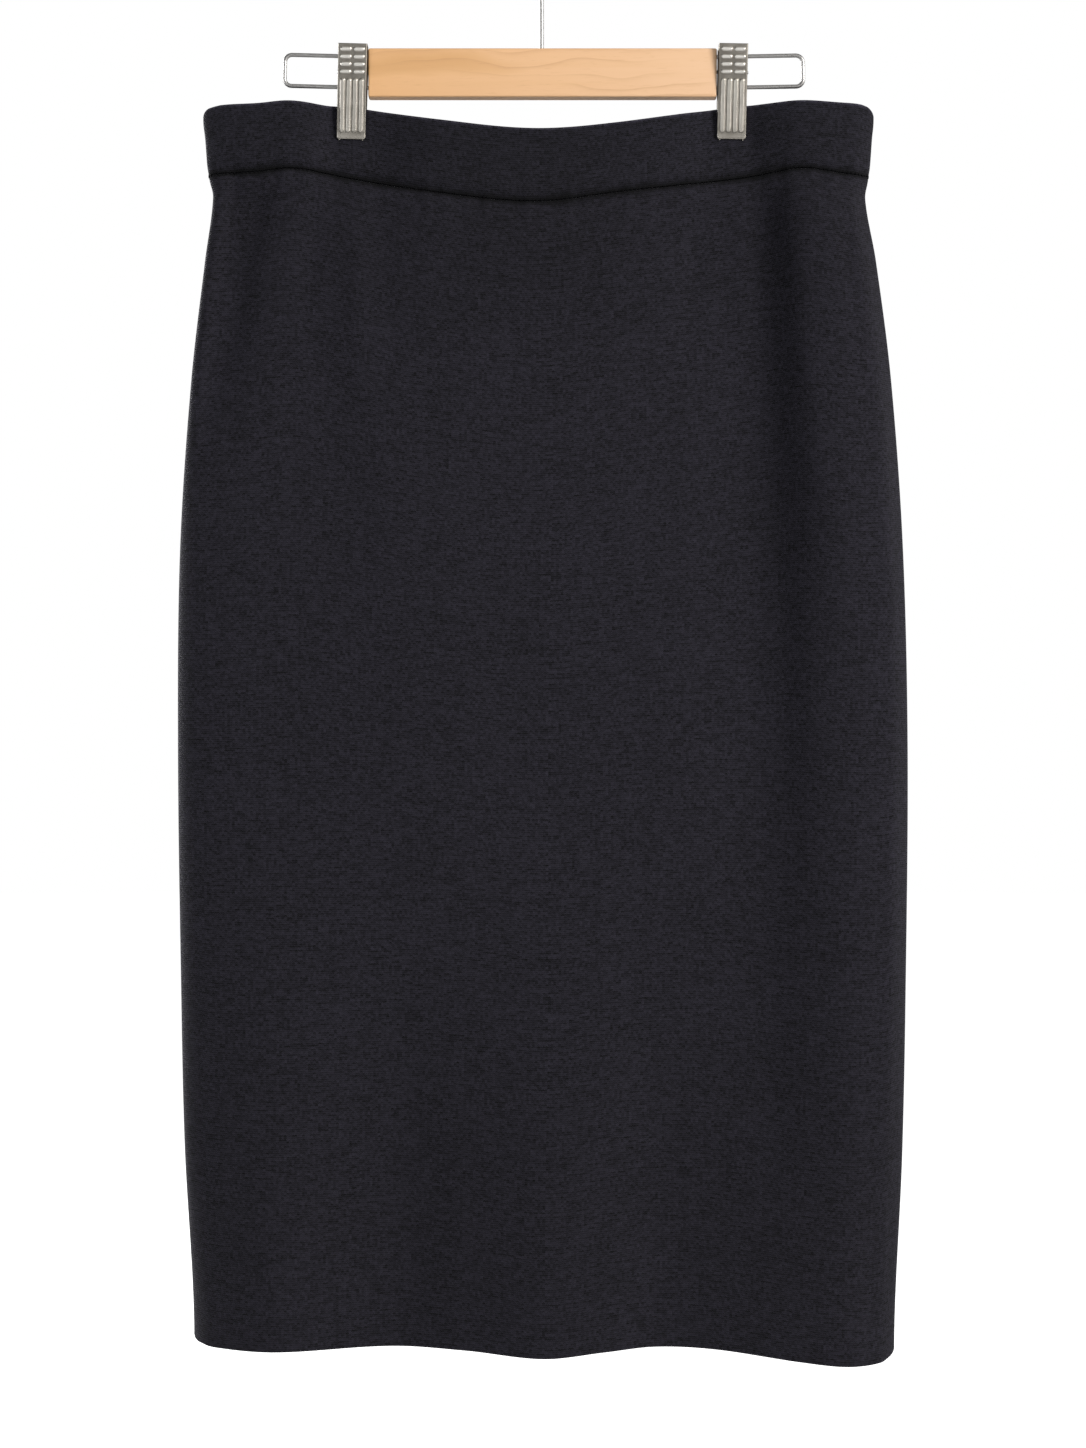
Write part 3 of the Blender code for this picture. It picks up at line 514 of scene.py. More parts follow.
# %% The surface itself
Spots = namedtuple("Spots", "turn place end at_edge")
OUTWARD = {"front": -1, "back": 1}  # the way each side faces, along Y


def columns_of_section(fold_steps, middle_steps):
    """The columns of a piece: turn round the side fold, fraction across, side, edge."""
    turns = math.pi / 2 * np.arange(fold_steps) / fold_steps
    places = np.linspace(0, 1, middle_steps + 1)
    turn = np.concatenate([[0], turns, np.full(len(places), math.pi / 2), turns[::-1], [0]])
    place = np.concatenate([np.zeros(fold_steps + 1), places, np.ones(fold_steps + 1)])
    end = np.concatenate([
        np.full(fold_steps + 1, -1), np.zeros(len(places)), np.full(fold_steps + 1, 1),
    ])
    at_edge = np.zeros(len(turn), bool)
    at_edge[[0, -1]] = True
    return Spots(turn, place, end, at_edge)


def cloth_surface(side, spots, drop, wall):
    """The outer surface of the cloth at columns of the section and drops, as points."""
    left = through(SECTIONS, "drop", "left", drop)
    right = through(SECTIONS, "drop", "right", drop)
    depth = through(SECTIONS, "drop", side, drop)
    fold = through(SECTIONS, "drop", "fold", drop)
    x = left + fold + (right - left - 2 * fold) * spots.place
    x = x + spots.end * fold * np.cos(spots.turn)
    from_middle = np.minimum(abs(2 * x - left - right) / (right - left), 1)
    stand = SIDE_FLAT + fold * np.sin(spots.turn)
    stand = stand + (depth - fold - SIDE_FLAT) * (1 - from_middle**DOME)
    inset = np.minimum(x - left, right - x)
    relief = folds_at(side, x, drop) + small_relief(x, drop, RELIEF_SHIFT[side])
    stand = stand + relief * eased(inset, 0.0, FOLD_FREE)
    least = wall + SEAM_GAP / 2
    held = least + np.maximum(stand - least, 0) * (1 - pinch_at(x, drop))
    stand = np.where(spots.end == 0, held, stand)
    stand = np.where(spots.at_edge, SEAM_GAP / 2, stand)
    inset = np.maximum(inset, 0)
    height = height_at(side, x, drop) + corner_lift(inset, drop)
    groove = groove_at(inset, drop)
    x = x - spots.end * groove * np.cos(spots.turn)
    stand = np.where(spots.at_edge, stand, stand - groove * np.sin(spots.turn))
    return np.stack([x, OUTWARD[side] * stand, height], axis=-1)


# %% [markdown]
# ## The four cloth pieces
#
# Each piece is an open grid moved onto the surface and given its thickness inwards by a
# Solidify modifier. A bevel then rounds the four edges of the wall, as the turned or linked
# edges of knitting are. Where two rounded edges meet, at the waist seam and down the sides,
# they leave a real groove. The UV map is measured in metres over the cloth, so that the
# stitches of the knit keep their size and follow every fold.

# %% Grids and walls
FOLD_STEPS, MIDDLE_STEPS = 10, 132
PANEL_STEPS, BAND_STEPS = 190, 24
ROW_EVEN, ROW_POWER = 0.36, 1.6  # the rows start close together at the seam
EDGE_ROUND = {"panel": 0.0009, "band": 0.0011}
RIM_SEGMENTS, RIM_SHARP = 3, math.radians(50)


def grid_mesh(name, across, down):
    """A flat grid, with the column and the row of each of its points."""
    cage = bmesh.new()
    bmesh.ops.create_grid(cage, x_segments=across, y_segments=down, size=1.0)
    mesh = bpy.data.meshes.new(name)
    cage.to_mesh(mesh)
    cage.free()
    flat = np.empty(len(mesh.vertices) * 3, np.float32)
    mesh.vertices.foreach_get("co", flat)
    flat = flat.reshape(-1, 3)
    column = np.rint((flat[:, 0] + 1) / 2 * across).astype(int)
    row = np.rint((1 - flat[:, 1]) / 2 * down).astype(int)
    return mesh, column, row


def set_uv(mesh, name, u, v):
    """A UV map from one pair of values for each point."""
    corners = np.empty(len(mesh.loops), np.int32)
    mesh.loops.foreach_get("vertex_index", corners)
    layer = mesh.uv_layers.new(name=name)
    layer.data.foreach_set("uv", np.stack([u, v], -1)[corners].astype(np.float32).ravel())


def new_piece(name, mesh, material=None):
    """An object of a mesh, with one material or none."""
    piece = bpy.data.objects.new(name, mesh)
    scene.collection.objects.link(piece)
    mesh.materials.clear()
    if material is not None:
        mesh.materials.append(material)
    return piece


def settle(piece):
    """Turns a piece and its modifiers into a plain mesh of its own."""
    bpy.context.view_layer.update()
    graph = bpy.context.evaluated_depsgraph_get()
    plain = bpy.data.meshes.new_from_object(piece.evaluated_get(graph))
    plain.name = piece.name
    if piece.type == "MESH":
        piece.modifiers.clear()
        piece.data = plain
        return piece
    name = piece.name
    bpy.data.objects.remove(piece, do_unlink=True)
    return new_piece(name, plain)


# %% One cloth piece


def cloth_piece(name, side, high, low, steps, wall, edge_round):
    """One shell between two drops; returns it with its width and its area when flat."""
    spots = columns_of_section(FOLD_STEPS, MIDDLE_STEPS)
    across = len(spots.turn) - 1
    mesh, column, row = grid_mesh(name, across, steps)
    t = row / steps
    if high > 0:
        t = ROW_EVEN * t + (1 - ROW_EVEN) * t**ROW_POWER
    drop = high + (low - high) * t
    here = Spots(*(values[column] for values in spots))
    points = cloth_surface(side, here, drop, wall)
    at_seam = np.isclose(drop, BAND_DEEP)
    points[:, 2] += np.where(at_seam, SEAM_GAP / 2 * (-1 if high > 0 else 1), 0)
    mesh.vertices.foreach_set("co", points.astype(np.float32).ravel())

    table = np.zeros((steps + 1, across + 1, 3))
    table[row, column] = points
    hop = np.linalg.norm(np.diff(table[:, :, :2], axis=1), axis=2)
    arc = np.concatenate([np.zeros((steps + 1, 1)), np.cumsum(hop, axis=1)], axis=1)
    arc -= arc[:, [-1]] / 2
    set_uv(mesh, "cloth", arc[row, column], drop)
    if side == "back":
        mesh.flip_normals()

    piece = new_piece(name, mesh)
    layer = piece.modifiers.new("cloth_wall", "SOLIDIFY")
    layer.thickness = wall
    layer.offset = -1.0
    rim = piece.modifiers.new("rounded_rim", "BEVEL")
    rim.limit_method = "ANGLE"
    rim.angle_limit = RIM_SHARP
    rim.width = edge_round
    rim.segments = RIM_SEGMENTS
    settle(piece)
    piece.data.shade_smooth()
    area = hop.mean() * across * (low - high)
    print(name, len(piece.data.polygons), "faces,", round(area, 4), "m2")
    return piece, float(arc[:, -1].max() * 2), float(area)


# %% Front and back, panels and bands
cloth = {}
for side in ("front", "back"):
    cloth[f"band_{side}"] = cloth_piece(
        f"band_{side}", side, 0.0, BAND_DEEP, BAND_STEPS, BAND_WALL, EDGE_ROUND["band"],
    )
    cloth[f"panel_{side}"] = cloth_piece(
        f"panel_{side}", side, BAND_DEEP, SKIRT_LONG, PANEL_STEPS, PANEL_WALL,
        EDGE_ROUND["panel"],
    )

# %% [markdown]
# ## The sewing
#
# The waistband is linked to the panels with a row of small slanted stitches that lie in the
# groove, and the side seams are drawn together by short bars of thread. Both are the same
# idea, one stitch repeated along a path, so one Geometry Nodes tree makes them: it resamples
# the path, sets a stitch on each point, turns it across the seam, and slants every other one
# a little more. The path carries its own outward direction as an attribute.

# %% The stitching tree
STITCH_SEED = 3
BEAD_SEGMENTS, BEAD_RINGS = 8, 6
SLANT_LEAST, SLANT_MORE = 0.75, 0.5  # every other stitch slants more
STITCH_SMALL, STITCH_LARGE = 0.8, 1.2  # no two stitches are the same size


def stitching_tree():
    tree = bpy.data.node_groups.new("stitches_along_seam", "GeometryNodeTree")
    tree.is_modifier = True
    socket = tree.interface.new_socket
    socket("Seam", in_out="INPUT", socket_type="NodeSocketGeometry")
    for name, value in (
        ("Pitch", 0.0024), ("Length", 0.0024), ("Thickness", 0.0006), ("Slant", 0.4),
    ):
        made = socket(name, in_out="INPUT", socket_type="NodeSocketFloat")
        made.default_value = value
    made = socket("Seed", in_out="INPUT", socket_type="NodeSocketInt")
    made.default_value = STITCH_SEED
    socket("Thread", in_out="INPUT", socket_type="NodeSocketMaterial")
    socket("Stitches", in_out="OUTPUT", socket_type="NodeSocketGeometry")
    inputs = put(tree, "NodeGroupInput").outputs

    curve = put(tree, "GeometryNodeMeshToCurve", {"Mesh": inputs["Seam"]})
    spaced = put(
        tree, "GeometryNodeResampleCurve",
        {"Curve": curve.outputs[0], "Length": inputs["Pitch"]}, mode="LENGTH",
    )
    bead = put(tree, "GeometryNodeMeshUVSphere", {
        "Segments": BEAD_SEGMENTS, "Rings": BEAD_RINGS, "Radius": 0.5,
    })
    size = put(tree, "ShaderNodeCombineXYZ", {
        "X": inputs["Thickness"], "Y": inputs["Thickness"], "Z": inputs["Length"],
    })
    stitch = put(tree, "GeometryNodeTransform", {
        "Geometry": bead.outputs["Mesh"], "Scale": size.outputs[0],
    })

    tangent = put(tree, "GeometryNodeInputTangent")
    outward = put(
        tree, "GeometryNodeInputNamedAttribute", {"Name": "outward"},
        data_type="FLOAT_VECTOR",
    )
    along = put(
        tree, "FunctionNodeAlignRotationToVector", {"Vector": tangent.outputs[0]}, axis="X",
    )
    facing = put(
        tree, "FunctionNodeAlignRotationToVector",
        {"Rotation": along.outputs[0], "Vector": outward.outputs["Attribute"]},
        axis="Y", pivot_axis="X",
    )
    index = put(tree, "GeometryNodeInputIndex")
    odd = put(tree, "ShaderNodeMath", {0: index.outputs[0], 1: 2.0}, operation="MODULO")
    share = put(tree, "ShaderNodeMath", {
        0: odd.outputs[0], 1: SLANT_MORE, 2: SLANT_LEAST,
    }, operation="MULTIPLY_ADD")
    uneven = put(tree, "FunctionNodeRandomValue", {
        "Min": STITCH_SMALL, "Max": STITCH_LARGE, "ID": index.outputs[0],
        "Seed": inputs["Seed"],
    }, data_type="FLOAT")
    random_value = next(o for o in uneven.outputs if o.enabled)
    slant = put(tree, "ShaderNodeMath", {0: inputs["Slant"], 1: share.outputs[0]},
                operation="MULTIPLY")
    slant = put(tree, "ShaderNodeMath", {0: slant.outputs[0], 1: random_value},
                operation="MULTIPLY")
    lean = put(tree, "FunctionNodeAxisAngleToRotation", {
        "Axis": (0.0, 1.0, 0.0), "Angle": slant.outputs[0],
    })
    turned = put(
        tree, "FunctionNodeRotateRotation",
        {"Rotation": facing.outputs[0], "Rotate By": lean.outputs[0]},
        rotation_space="LOCAL",
    )
    placed = put(tree, "GeometryNodeInstanceOnPoints", {
        "Points": spaced.outputs[0], "Instance": stitch.outputs[0],
        "Rotation": turned.outputs[0], "Scale": random_value,
    })
    real = put(tree, "GeometryNodeRealizeInstances", {"Geometry": placed.outputs[0]})
    smooth = put(tree, "GeometryNodeSetShadeSmooth", {"Geometry": real.outputs[0]})
    dyed = put(tree, "GeometryNodeSetMaterial", {
        "Geometry": smooth.outputs[0], "Material": inputs["Thread"],
    })
    put(tree, "NodeGroupOutput", {"Stitches": dyed.outputs[0]})
    return tree


STITCHES = stitching_tree()
print("stitching tree:", len(STITCHES.nodes), "nodes")

# %% [markdown]
# Thread and wire are both a circle carried along a path, so a second small tree serves for
# the thread inside the seams here, and later for the hook, the loops, the pins and the
# springs. A value named taper on the path shrinks the circle where an end is rounded.

# %% The round wire tree


def round_wire_tree():
    tree = bpy.data.node_groups.new("round_wire_along_path", "GeometryNodeTree")
    tree.is_modifier = True
    socket = tree.interface.new_socket
    socket("Path", in_out="INPUT", socket_type="NodeSocketGeometry")
    made = socket("Thickness", in_out="INPUT", socket_type="NodeSocketFloat")
    made.default_value = 0.0024
    socket("Sides", in_out="INPUT", socket_type="NodeSocketInt").default_value = 16
    socket("Finish", in_out="INPUT", socket_type="NodeSocketMaterial")
    socket("Wire", in_out="OUTPUT", socket_type="NodeSocketGeometry")
    inputs = put(tree, "NodeGroupInput").outputs
    curve = put(tree, "GeometryNodeMeshToCurve", {"Mesh": inputs["Path"]})
    radius = put(tree, "ShaderNodeMath", {0: inputs["Thickness"], 1: 0.5},
                 operation="MULTIPLY")
    circle = put(tree, "GeometryNodeCurvePrimitiveCircle", {
        "Resolution": inputs["Sides"], "Radius": radius.outputs[0],
    }, mode="RADIUS")
    taper = put(tree, "GeometryNodeInputNamedAttribute", {"Name": "taper"},
                data_type="FLOAT")
    swept = put(tree, "GeometryNodeCurveToMesh", {
        "Curve": curve.outputs[0], "Profile Curve": circle.outputs[0],
        "Scale": taper.outputs["Attribute"], "Fill Caps": True,
    })
    smooth = put(tree, "GeometryNodeSetShadeSmooth", {"Geometry": swept.outputs[0]})
    dyed = put(tree, "GeometryNodeSetMaterial", {
        "Geometry": smooth.outputs[0], "Material": inputs["Finish"],
    })
    put(tree, "NodeGroupOutput", {"Wire": dyed.outputs[0]})
    return tree


ROUND_WIRE = round_wire_tree()
print("round wire tree:", len(ROUND_WIRE.nodes), "nodes")

# %% Paths of the seams
THREAD_SUNK = 0.00055  # the stitches' middles lie this far below the cloth's surface
LINK_THICK, LINK_SUNK = 0.0010, 0.0011  # the thread that closes a seam, within the wall
LINK_SIDES = 8
SIDE_TOP, SIDE_CLEAR = 0.001, 0.002  # where the side threads start and pass the waist seam
SIDE_STEP = 0.004


def waist_seam_paths():
    """The waist seam on the front and on the back, with their outward directions."""
    spots = columns_of_section(FOLD_STEPS, MIDDLE_STEPS)
    paths = []
    for side in ("front", "back"):
        drop = np.full(len(spots.turn), BAND_DEEP)
        points = cloth_surface(side, spots, drop, PANEL_WALL)
        facing = np.stack([
            spots.end * np.cos(spots.turn), OUTWARD[side] * np.sin(spots.turn),
            0 * spots.turn,
        ], -1)
        paths.append((points, facing))
    return paths


def side_seam_paths():
    """The two side seams, from the waist edge to the hem."""
    stretches = (
        (SIDE_TOP, BAND_DEEP - SIDE_CLEAR), (BAND_DEEP + SIDE_CLEAR, SKIRT_LONG),
    )
    paths = []
    for end in (-1, 1):
        spots = Spots(np.array([0.0]), np.array([(end + 1) / 2]), np.array([end]),
                      np.array([True]))
        for high, low in stretches:
            drops = np.append(np.arange(high, low, SIDE_STEP), low)
            points = np.concatenate([
                cloth_surface("front", spots, np.array([drop]), PANEL_WALL) for drop in drops
            ])
            points[:, 1] = 0
            points[:, 0] -= end * THREAD_SUNK
            facing = np.tile([end, 0.0, 0.0], (len(points), 1))
            paths.append((points, facing))
    return paths


def path_mesh(name, paths, tapers=None):
    """Poly lines with an outward direction and a taper on each point."""
    points, edges, facings = [], [], []
    for line, facing in paths:
        first = len(points)
        points += [tuple(point) for point in line]
        edges += [(first + i, first + i + 1) for i in range(len(line) - 1)]
        facings += [tuple(direction) for direction in facing]
    mesh = bpy.data.meshes.new(name)
    mesh.from_pydata(points, edges, [])
    outward = mesh.attributes.new("outward", "FLOAT_VECTOR", "POINT")
    outward.data.foreach_set("vector", np.array(facings, np.float32).ravel())
    taper = mesh.attributes.new("taper", "FLOAT", "POINT")
    shares = np.ones(len(points)) if tapers is None else np.array(tapers)
    taper.data.foreach_set("value", shares.astype(np.float32))
    return mesh


# %% Run a tree along a path, and sew
WELD = 0.000002  # points closer than this are one


def made_by(tree, name, mesh, values):
    """A plain mesh that a Geometry Nodes tree makes from a path, with facing set right."""
    piece = bpy.data.objects.new(name, mesh)
    scene.collection.objects.link(piece)
    modifier = piece.modifiers.new(tree.name, "NODES")
    modifier.node_group = tree
    sockets = {
        item.name: item.identifier for item in tree.interface.items_tree
        if item.in_out == "INPUT"
    }
    for label, value in values.items():
        modifier[sockets[label]] = value
    settle(piece)
    cage = bmesh.new()
    cage.from_mesh(piece.data)
    bmesh.ops.remove_doubles(cage, verts=cage.verts, dist=WELD)
    bmesh.ops.recalc_face_normals(cage, faces=cage.faces)
    cage.to_mesh(piece.data)
    cage.free()
    return piece


def joined(name, pieces, material=None):
    """Several meshes as one object."""
    cage = bmesh.new()
    for piece in pieces:
        cage.from_mesh(piece.data)
    mesh = bpy.data.meshes.new(name)
    cage.to_mesh(mesh)
    cage.free()
    for piece in pieces:
        bpy.data.objects.remove(piece, do_unlink=True)
    return new_piece(name, mesh, material)


Seam = namedtuple("Seam", "name paths pitch length thickness slant")


def sew(seam, thread):
    """A row of stitches in the groove, over the thread that closes the seam."""
    stitches = made_by(STITCHES, seam.name, path_mesh(seam.name, seam.paths), {
        "Pitch": seam.pitch, "Length": seam.length, "Thickness": seam.thickness,
        "Slant": seam.slant, "Seed": STITCH_SEED, "Thread": thread,
    })
    sunk = [(line - LINK_SUNK * facing, facing) for line, facing in seam.paths]
    link = made_by(ROUND_WIRE, "link", path_mesh("link", sunk), {
        "Thickness": LINK_THICK, "Sides": LINK_SIDES, "Finish": thread,
    })
    piece = joined(seam.name, [stitches, link], thread)
    print(seam.name, len(piece.data.polygons), "faces")
    return piece


# %% [markdown]
# ## Materials
#
# Every finish is made of nodes. What more than one finish needs is a node group that puts
# out values and normals only; the Principled shader stays in each material, with its
# uniform numbers on its own sockets.

# %% Node helpers


def new_group(name, inputs, outputs):
    """A shader node group with named inputs and outputs, and its input and output nodes."""
    tree = bpy.data.node_groups.new(name, "ShaderNodeTree")
    for label, kind, value in inputs:
        made = tree.interface.new_socket(label, in_out="INPUT", socket_type=kind)
        if value is not None:
            made.default_value = value
    for label, kind in outputs:
        tree.interface.new_socket(label, in_out="OUTPUT", socket_type=kind)
    return tree, put(tree, "NodeGroupInput").outputs, put(tree, "NodeGroupOutput")


def maths(tree, operation, first, second=None, third=None, clamp=False):
    """One Math node; returns its output."""
    values = {i: v for i, v in enumerate((first, second, third)) if v is not None}
    made = put(tree, "ShaderNodeMath", values, operation=operation, use_clamp=clamp)
    return made.outputs[0]


def blend_colour(tree, share, first, second, blend_type="MIX"):
    """One Mix node for colours, which may be links or plain colours; returns its output."""
    made = put(tree, "ShaderNodeMix", {0: share}, data_type="RGBA", blend_type=blend_type)
    for slot, value in ((6, first), (7, second)):
        if isinstance(value, bpy.types.NodeSocket):
            tree.links.new(value, made.inputs[slot])
        else:
            made.inputs[slot].default_value = (*value, 1)
    return made.outputs[2]


def spread(tree, value, low, high, to_low=0.0, to_high=1.0):
    """Maps a range of values onto another one, clamped."""
    made = put(tree, "ShaderNodeMapRange", {
        "Value": value, "From Min": low, "From Max": high, "To Min": to_low,
        "To Max": to_high,
    })
    return made.outputs[0]


VALUE, VECTOR = "NodeSocketFloat", "NodeSocketVector"

# %% [markdown]
# The knit is a fine double jersey. Its courses run round the skirt and show as thin level
# lines; each stitch is a shallow V across its wale. Seen from a step away it is mostly a
# level speckle, because the yarn is melange: some stitches are lighter, and a lighter
# length of yarn makes a short streak. The group works in metres over the cloth's UV map. It
# puts out the height of the yarn for the bump, and a tone about 1 for the colour, into which
# the height also paints shade in the yarn's grooves.

# %% The knit group
STREAK_STITCHES = 4.0  # a lighter length of yarn spans about this many stitches
STITCH_BEND = 0.36  # how far a stitch's V reaches down, in courses
LEG_SHARE = 0.42  # how much higher the legs of a stitch stand than its ends
FIBRES = (500.0, 1080.0, 1.0)
WANDER_SIZE, CLOUD_SIZE = 55.0, 24.0
TONE_SHARES = (0.50, 0.84, 0.46, 1.25, 0.20)  # painted groove shade from the height, speck, streak, fibre and cloud


def knit_group():
    """The yarn's height and tone over a cloth that is measured in metres."""
    tree, inputs, outputs = new_group("fine_knit", (
        ("Cloth", VECTOR, None), ("Course", VALUE, 0.00125), ("Wale", VALUE, 0.0015),
        ("Slub", VALUE, 0.35), ("Evenness", VALUE, -0.565),
    ), (("Height", VALUE), ("Tone", VALUE)))
    parts = put(tree, "ShaderNodeSeparateXYZ", {0: inputs["Cloth"]}).outputs
    wander = put(tree, "ShaderNodeTexNoise", {
        "Vector": inputs["Cloth"], "Scale": WANDER_SIZE, "Detail": 2.0,
    }, noise_dimensions="2D").outputs[0]
    wander = maths(tree, "MULTIPLY", maths(tree, "SUBTRACT", wander, 0.5), inputs["Slub"])
    wale = maths(tree, "DIVIDE", parts[0], inputs["Wale"])
    course = maths(tree, "DIVIDE", parts[1], inputs["Course"])
    course = maths(tree, "ADD", course, wander)
    across = maths(tree, "MULTIPLY", maths(tree, "PINGPONG", wale, 0.5), 2.0)
    bent = maths(tree, "MULTIPLY_ADD", across, STITCH_BEND, course)
    level = maths(tree, "COSINE", maths(tree, "MULTIPLY", bent, 2 * math.pi))
    level = maths(tree, "MULTIPLY_ADD", level, 0.5, 0.5)
    legs = maths(tree, "SINE", maths(tree, "MULTIPLY", across, math.pi))
    legs = maths(tree, "MULTIPLY_ADD", legs, LEG_SHARE, 1 - LEG_SHARE)
    height = maths(tree, "MULTIPLY", level, legs)
    cell = put(tree, "ShaderNodeCombineXYZ", {
        0: maths(tree, "FLOOR", wale), 1: maths(tree, "FLOOR", bent),
    })
    speck = put(tree, "ShaderNodeTexWhiteNoise", {"Vector": cell.outputs[0]},
                noise_dimensions="2D").outputs[0]
    lengths = put(tree, "ShaderNodeCombineXYZ", {
        0: maths(tree, "FLOOR", maths(tree, "DIVIDE", wale, STREAK_STITCHES)),
        1: maths(tree, "FLOOR", bent),
    })
    streak = put(tree, "ShaderNodeTexWhiteNoise", {"Vector": lengths.outputs[0]},
                 noise_dimensions="2D").outputs[0]
    fibre = put(tree, "ShaderNodeTexNoise", {
        "Vector": put(tree, "ShaderNodeMapping", {
            "Vector": inputs["Cloth"], "Scale": FIBRES,
        }).outputs[0],
        "Scale": 1.0, "Detail": 2.0, "Roughness": 0.6,
    }, noise_dimensions="2D").outputs[0]
    cloudy = put(tree, "ShaderNodeTexNoise", {
        "Vector": inputs["Cloth"], "Scale": CLOUD_SIZE, "Detail": 3.0,
    }, noise_dimensions="2D").outputs[0]
    tone = inputs["Evenness"]
    # The height share paints shade into the grooves between the courses
    for part, share in zip((height, speck, streak, fibre, cloudy), TONE_SHARES):
        tone = maths(tree, "MULTIPLY_ADD", part, share, tone)
    tree.links.new(height, outputs.inputs["Height"])
    tree.links.new(tone, outputs.inputs["Tone"])
    return tree


KNIT = knit_group()

# %% [markdown]
# Painted shade darkens the knit along the waist seam's groove, here more and there less; it
# also stands for the doubled, tight linked stitches there, which are darker. A painted
# highlight makes the turned edge of the waist paler. Painted shade also darkens the middle
# just under the band, the top of the skirt down to a little below the band, and the cloth
# above the hem. All of these follow the UV map, whose two values are the way across a piece
# and the drop.

# %% The cloth's materials
# Painted shade in the waist seam's groove, which also stands for its darker linked stitches
SEAM_SHADE_CORE, SEAM_SHADE_HALF, SEAM_SHADE_DARK = 0.0007, 0.0044, 0.12
# Painted highlight on the turned waist edge: how far down it reaches and how much paler it is
EDGE_HIGHLIGHT_DEEP, EDGE_HIGHLIGHT_GAIN = 0.0018, 3.0
# Painted shade in the middle of the skirt, just under the band
MIDDLE_SHADE_X, MIDDLE_SHADE_CORE, MIDDLE_SHADE_REACH, MIDDLE_SHADE_END = -0.012, 0.020, 0.075, 0.12
MIDDLE_SHADE_DARK = 0.17
# Painted shade over the top of the skirt, fading out a little below the band
UPPER_SHADE_FROM, UPPER_SHADE_TO, UPPER_SHADE_DARK = 0.085, 0.145, 0.91
# Painted shade: the cloth is darker towards the hem
LOWER_SHADE_START, LOWER_SHADE_END, LOWER_SHADE_DARK = 0.42, 0.62, 0.90
SEAM_SHADE_WOBBLE_SIZE, SEAM_SHADE_WOBBLE_SPREAD = 26.0, (0.35, 0.65, 0.75, 1.7)  # how unevenly the painted seam shade spreads
ROUGH_GROOVE, ROUGH_CROWN = 0.98, 0.82
Yarn = namedtuple("Yarn", "name colour course wale slub sheen")
YARNS = {
    "panel": Yarn("black_knit_cloth", (0.0097, 0.0089, 0.0131), 0.00122, 0.0015, 0.9, 0.09),
    "band": Yarn("black_band_cloth", (0.0095, 0.0088, 0.0129), 0.00115, 0.0014, 0.7, 0.08),
}


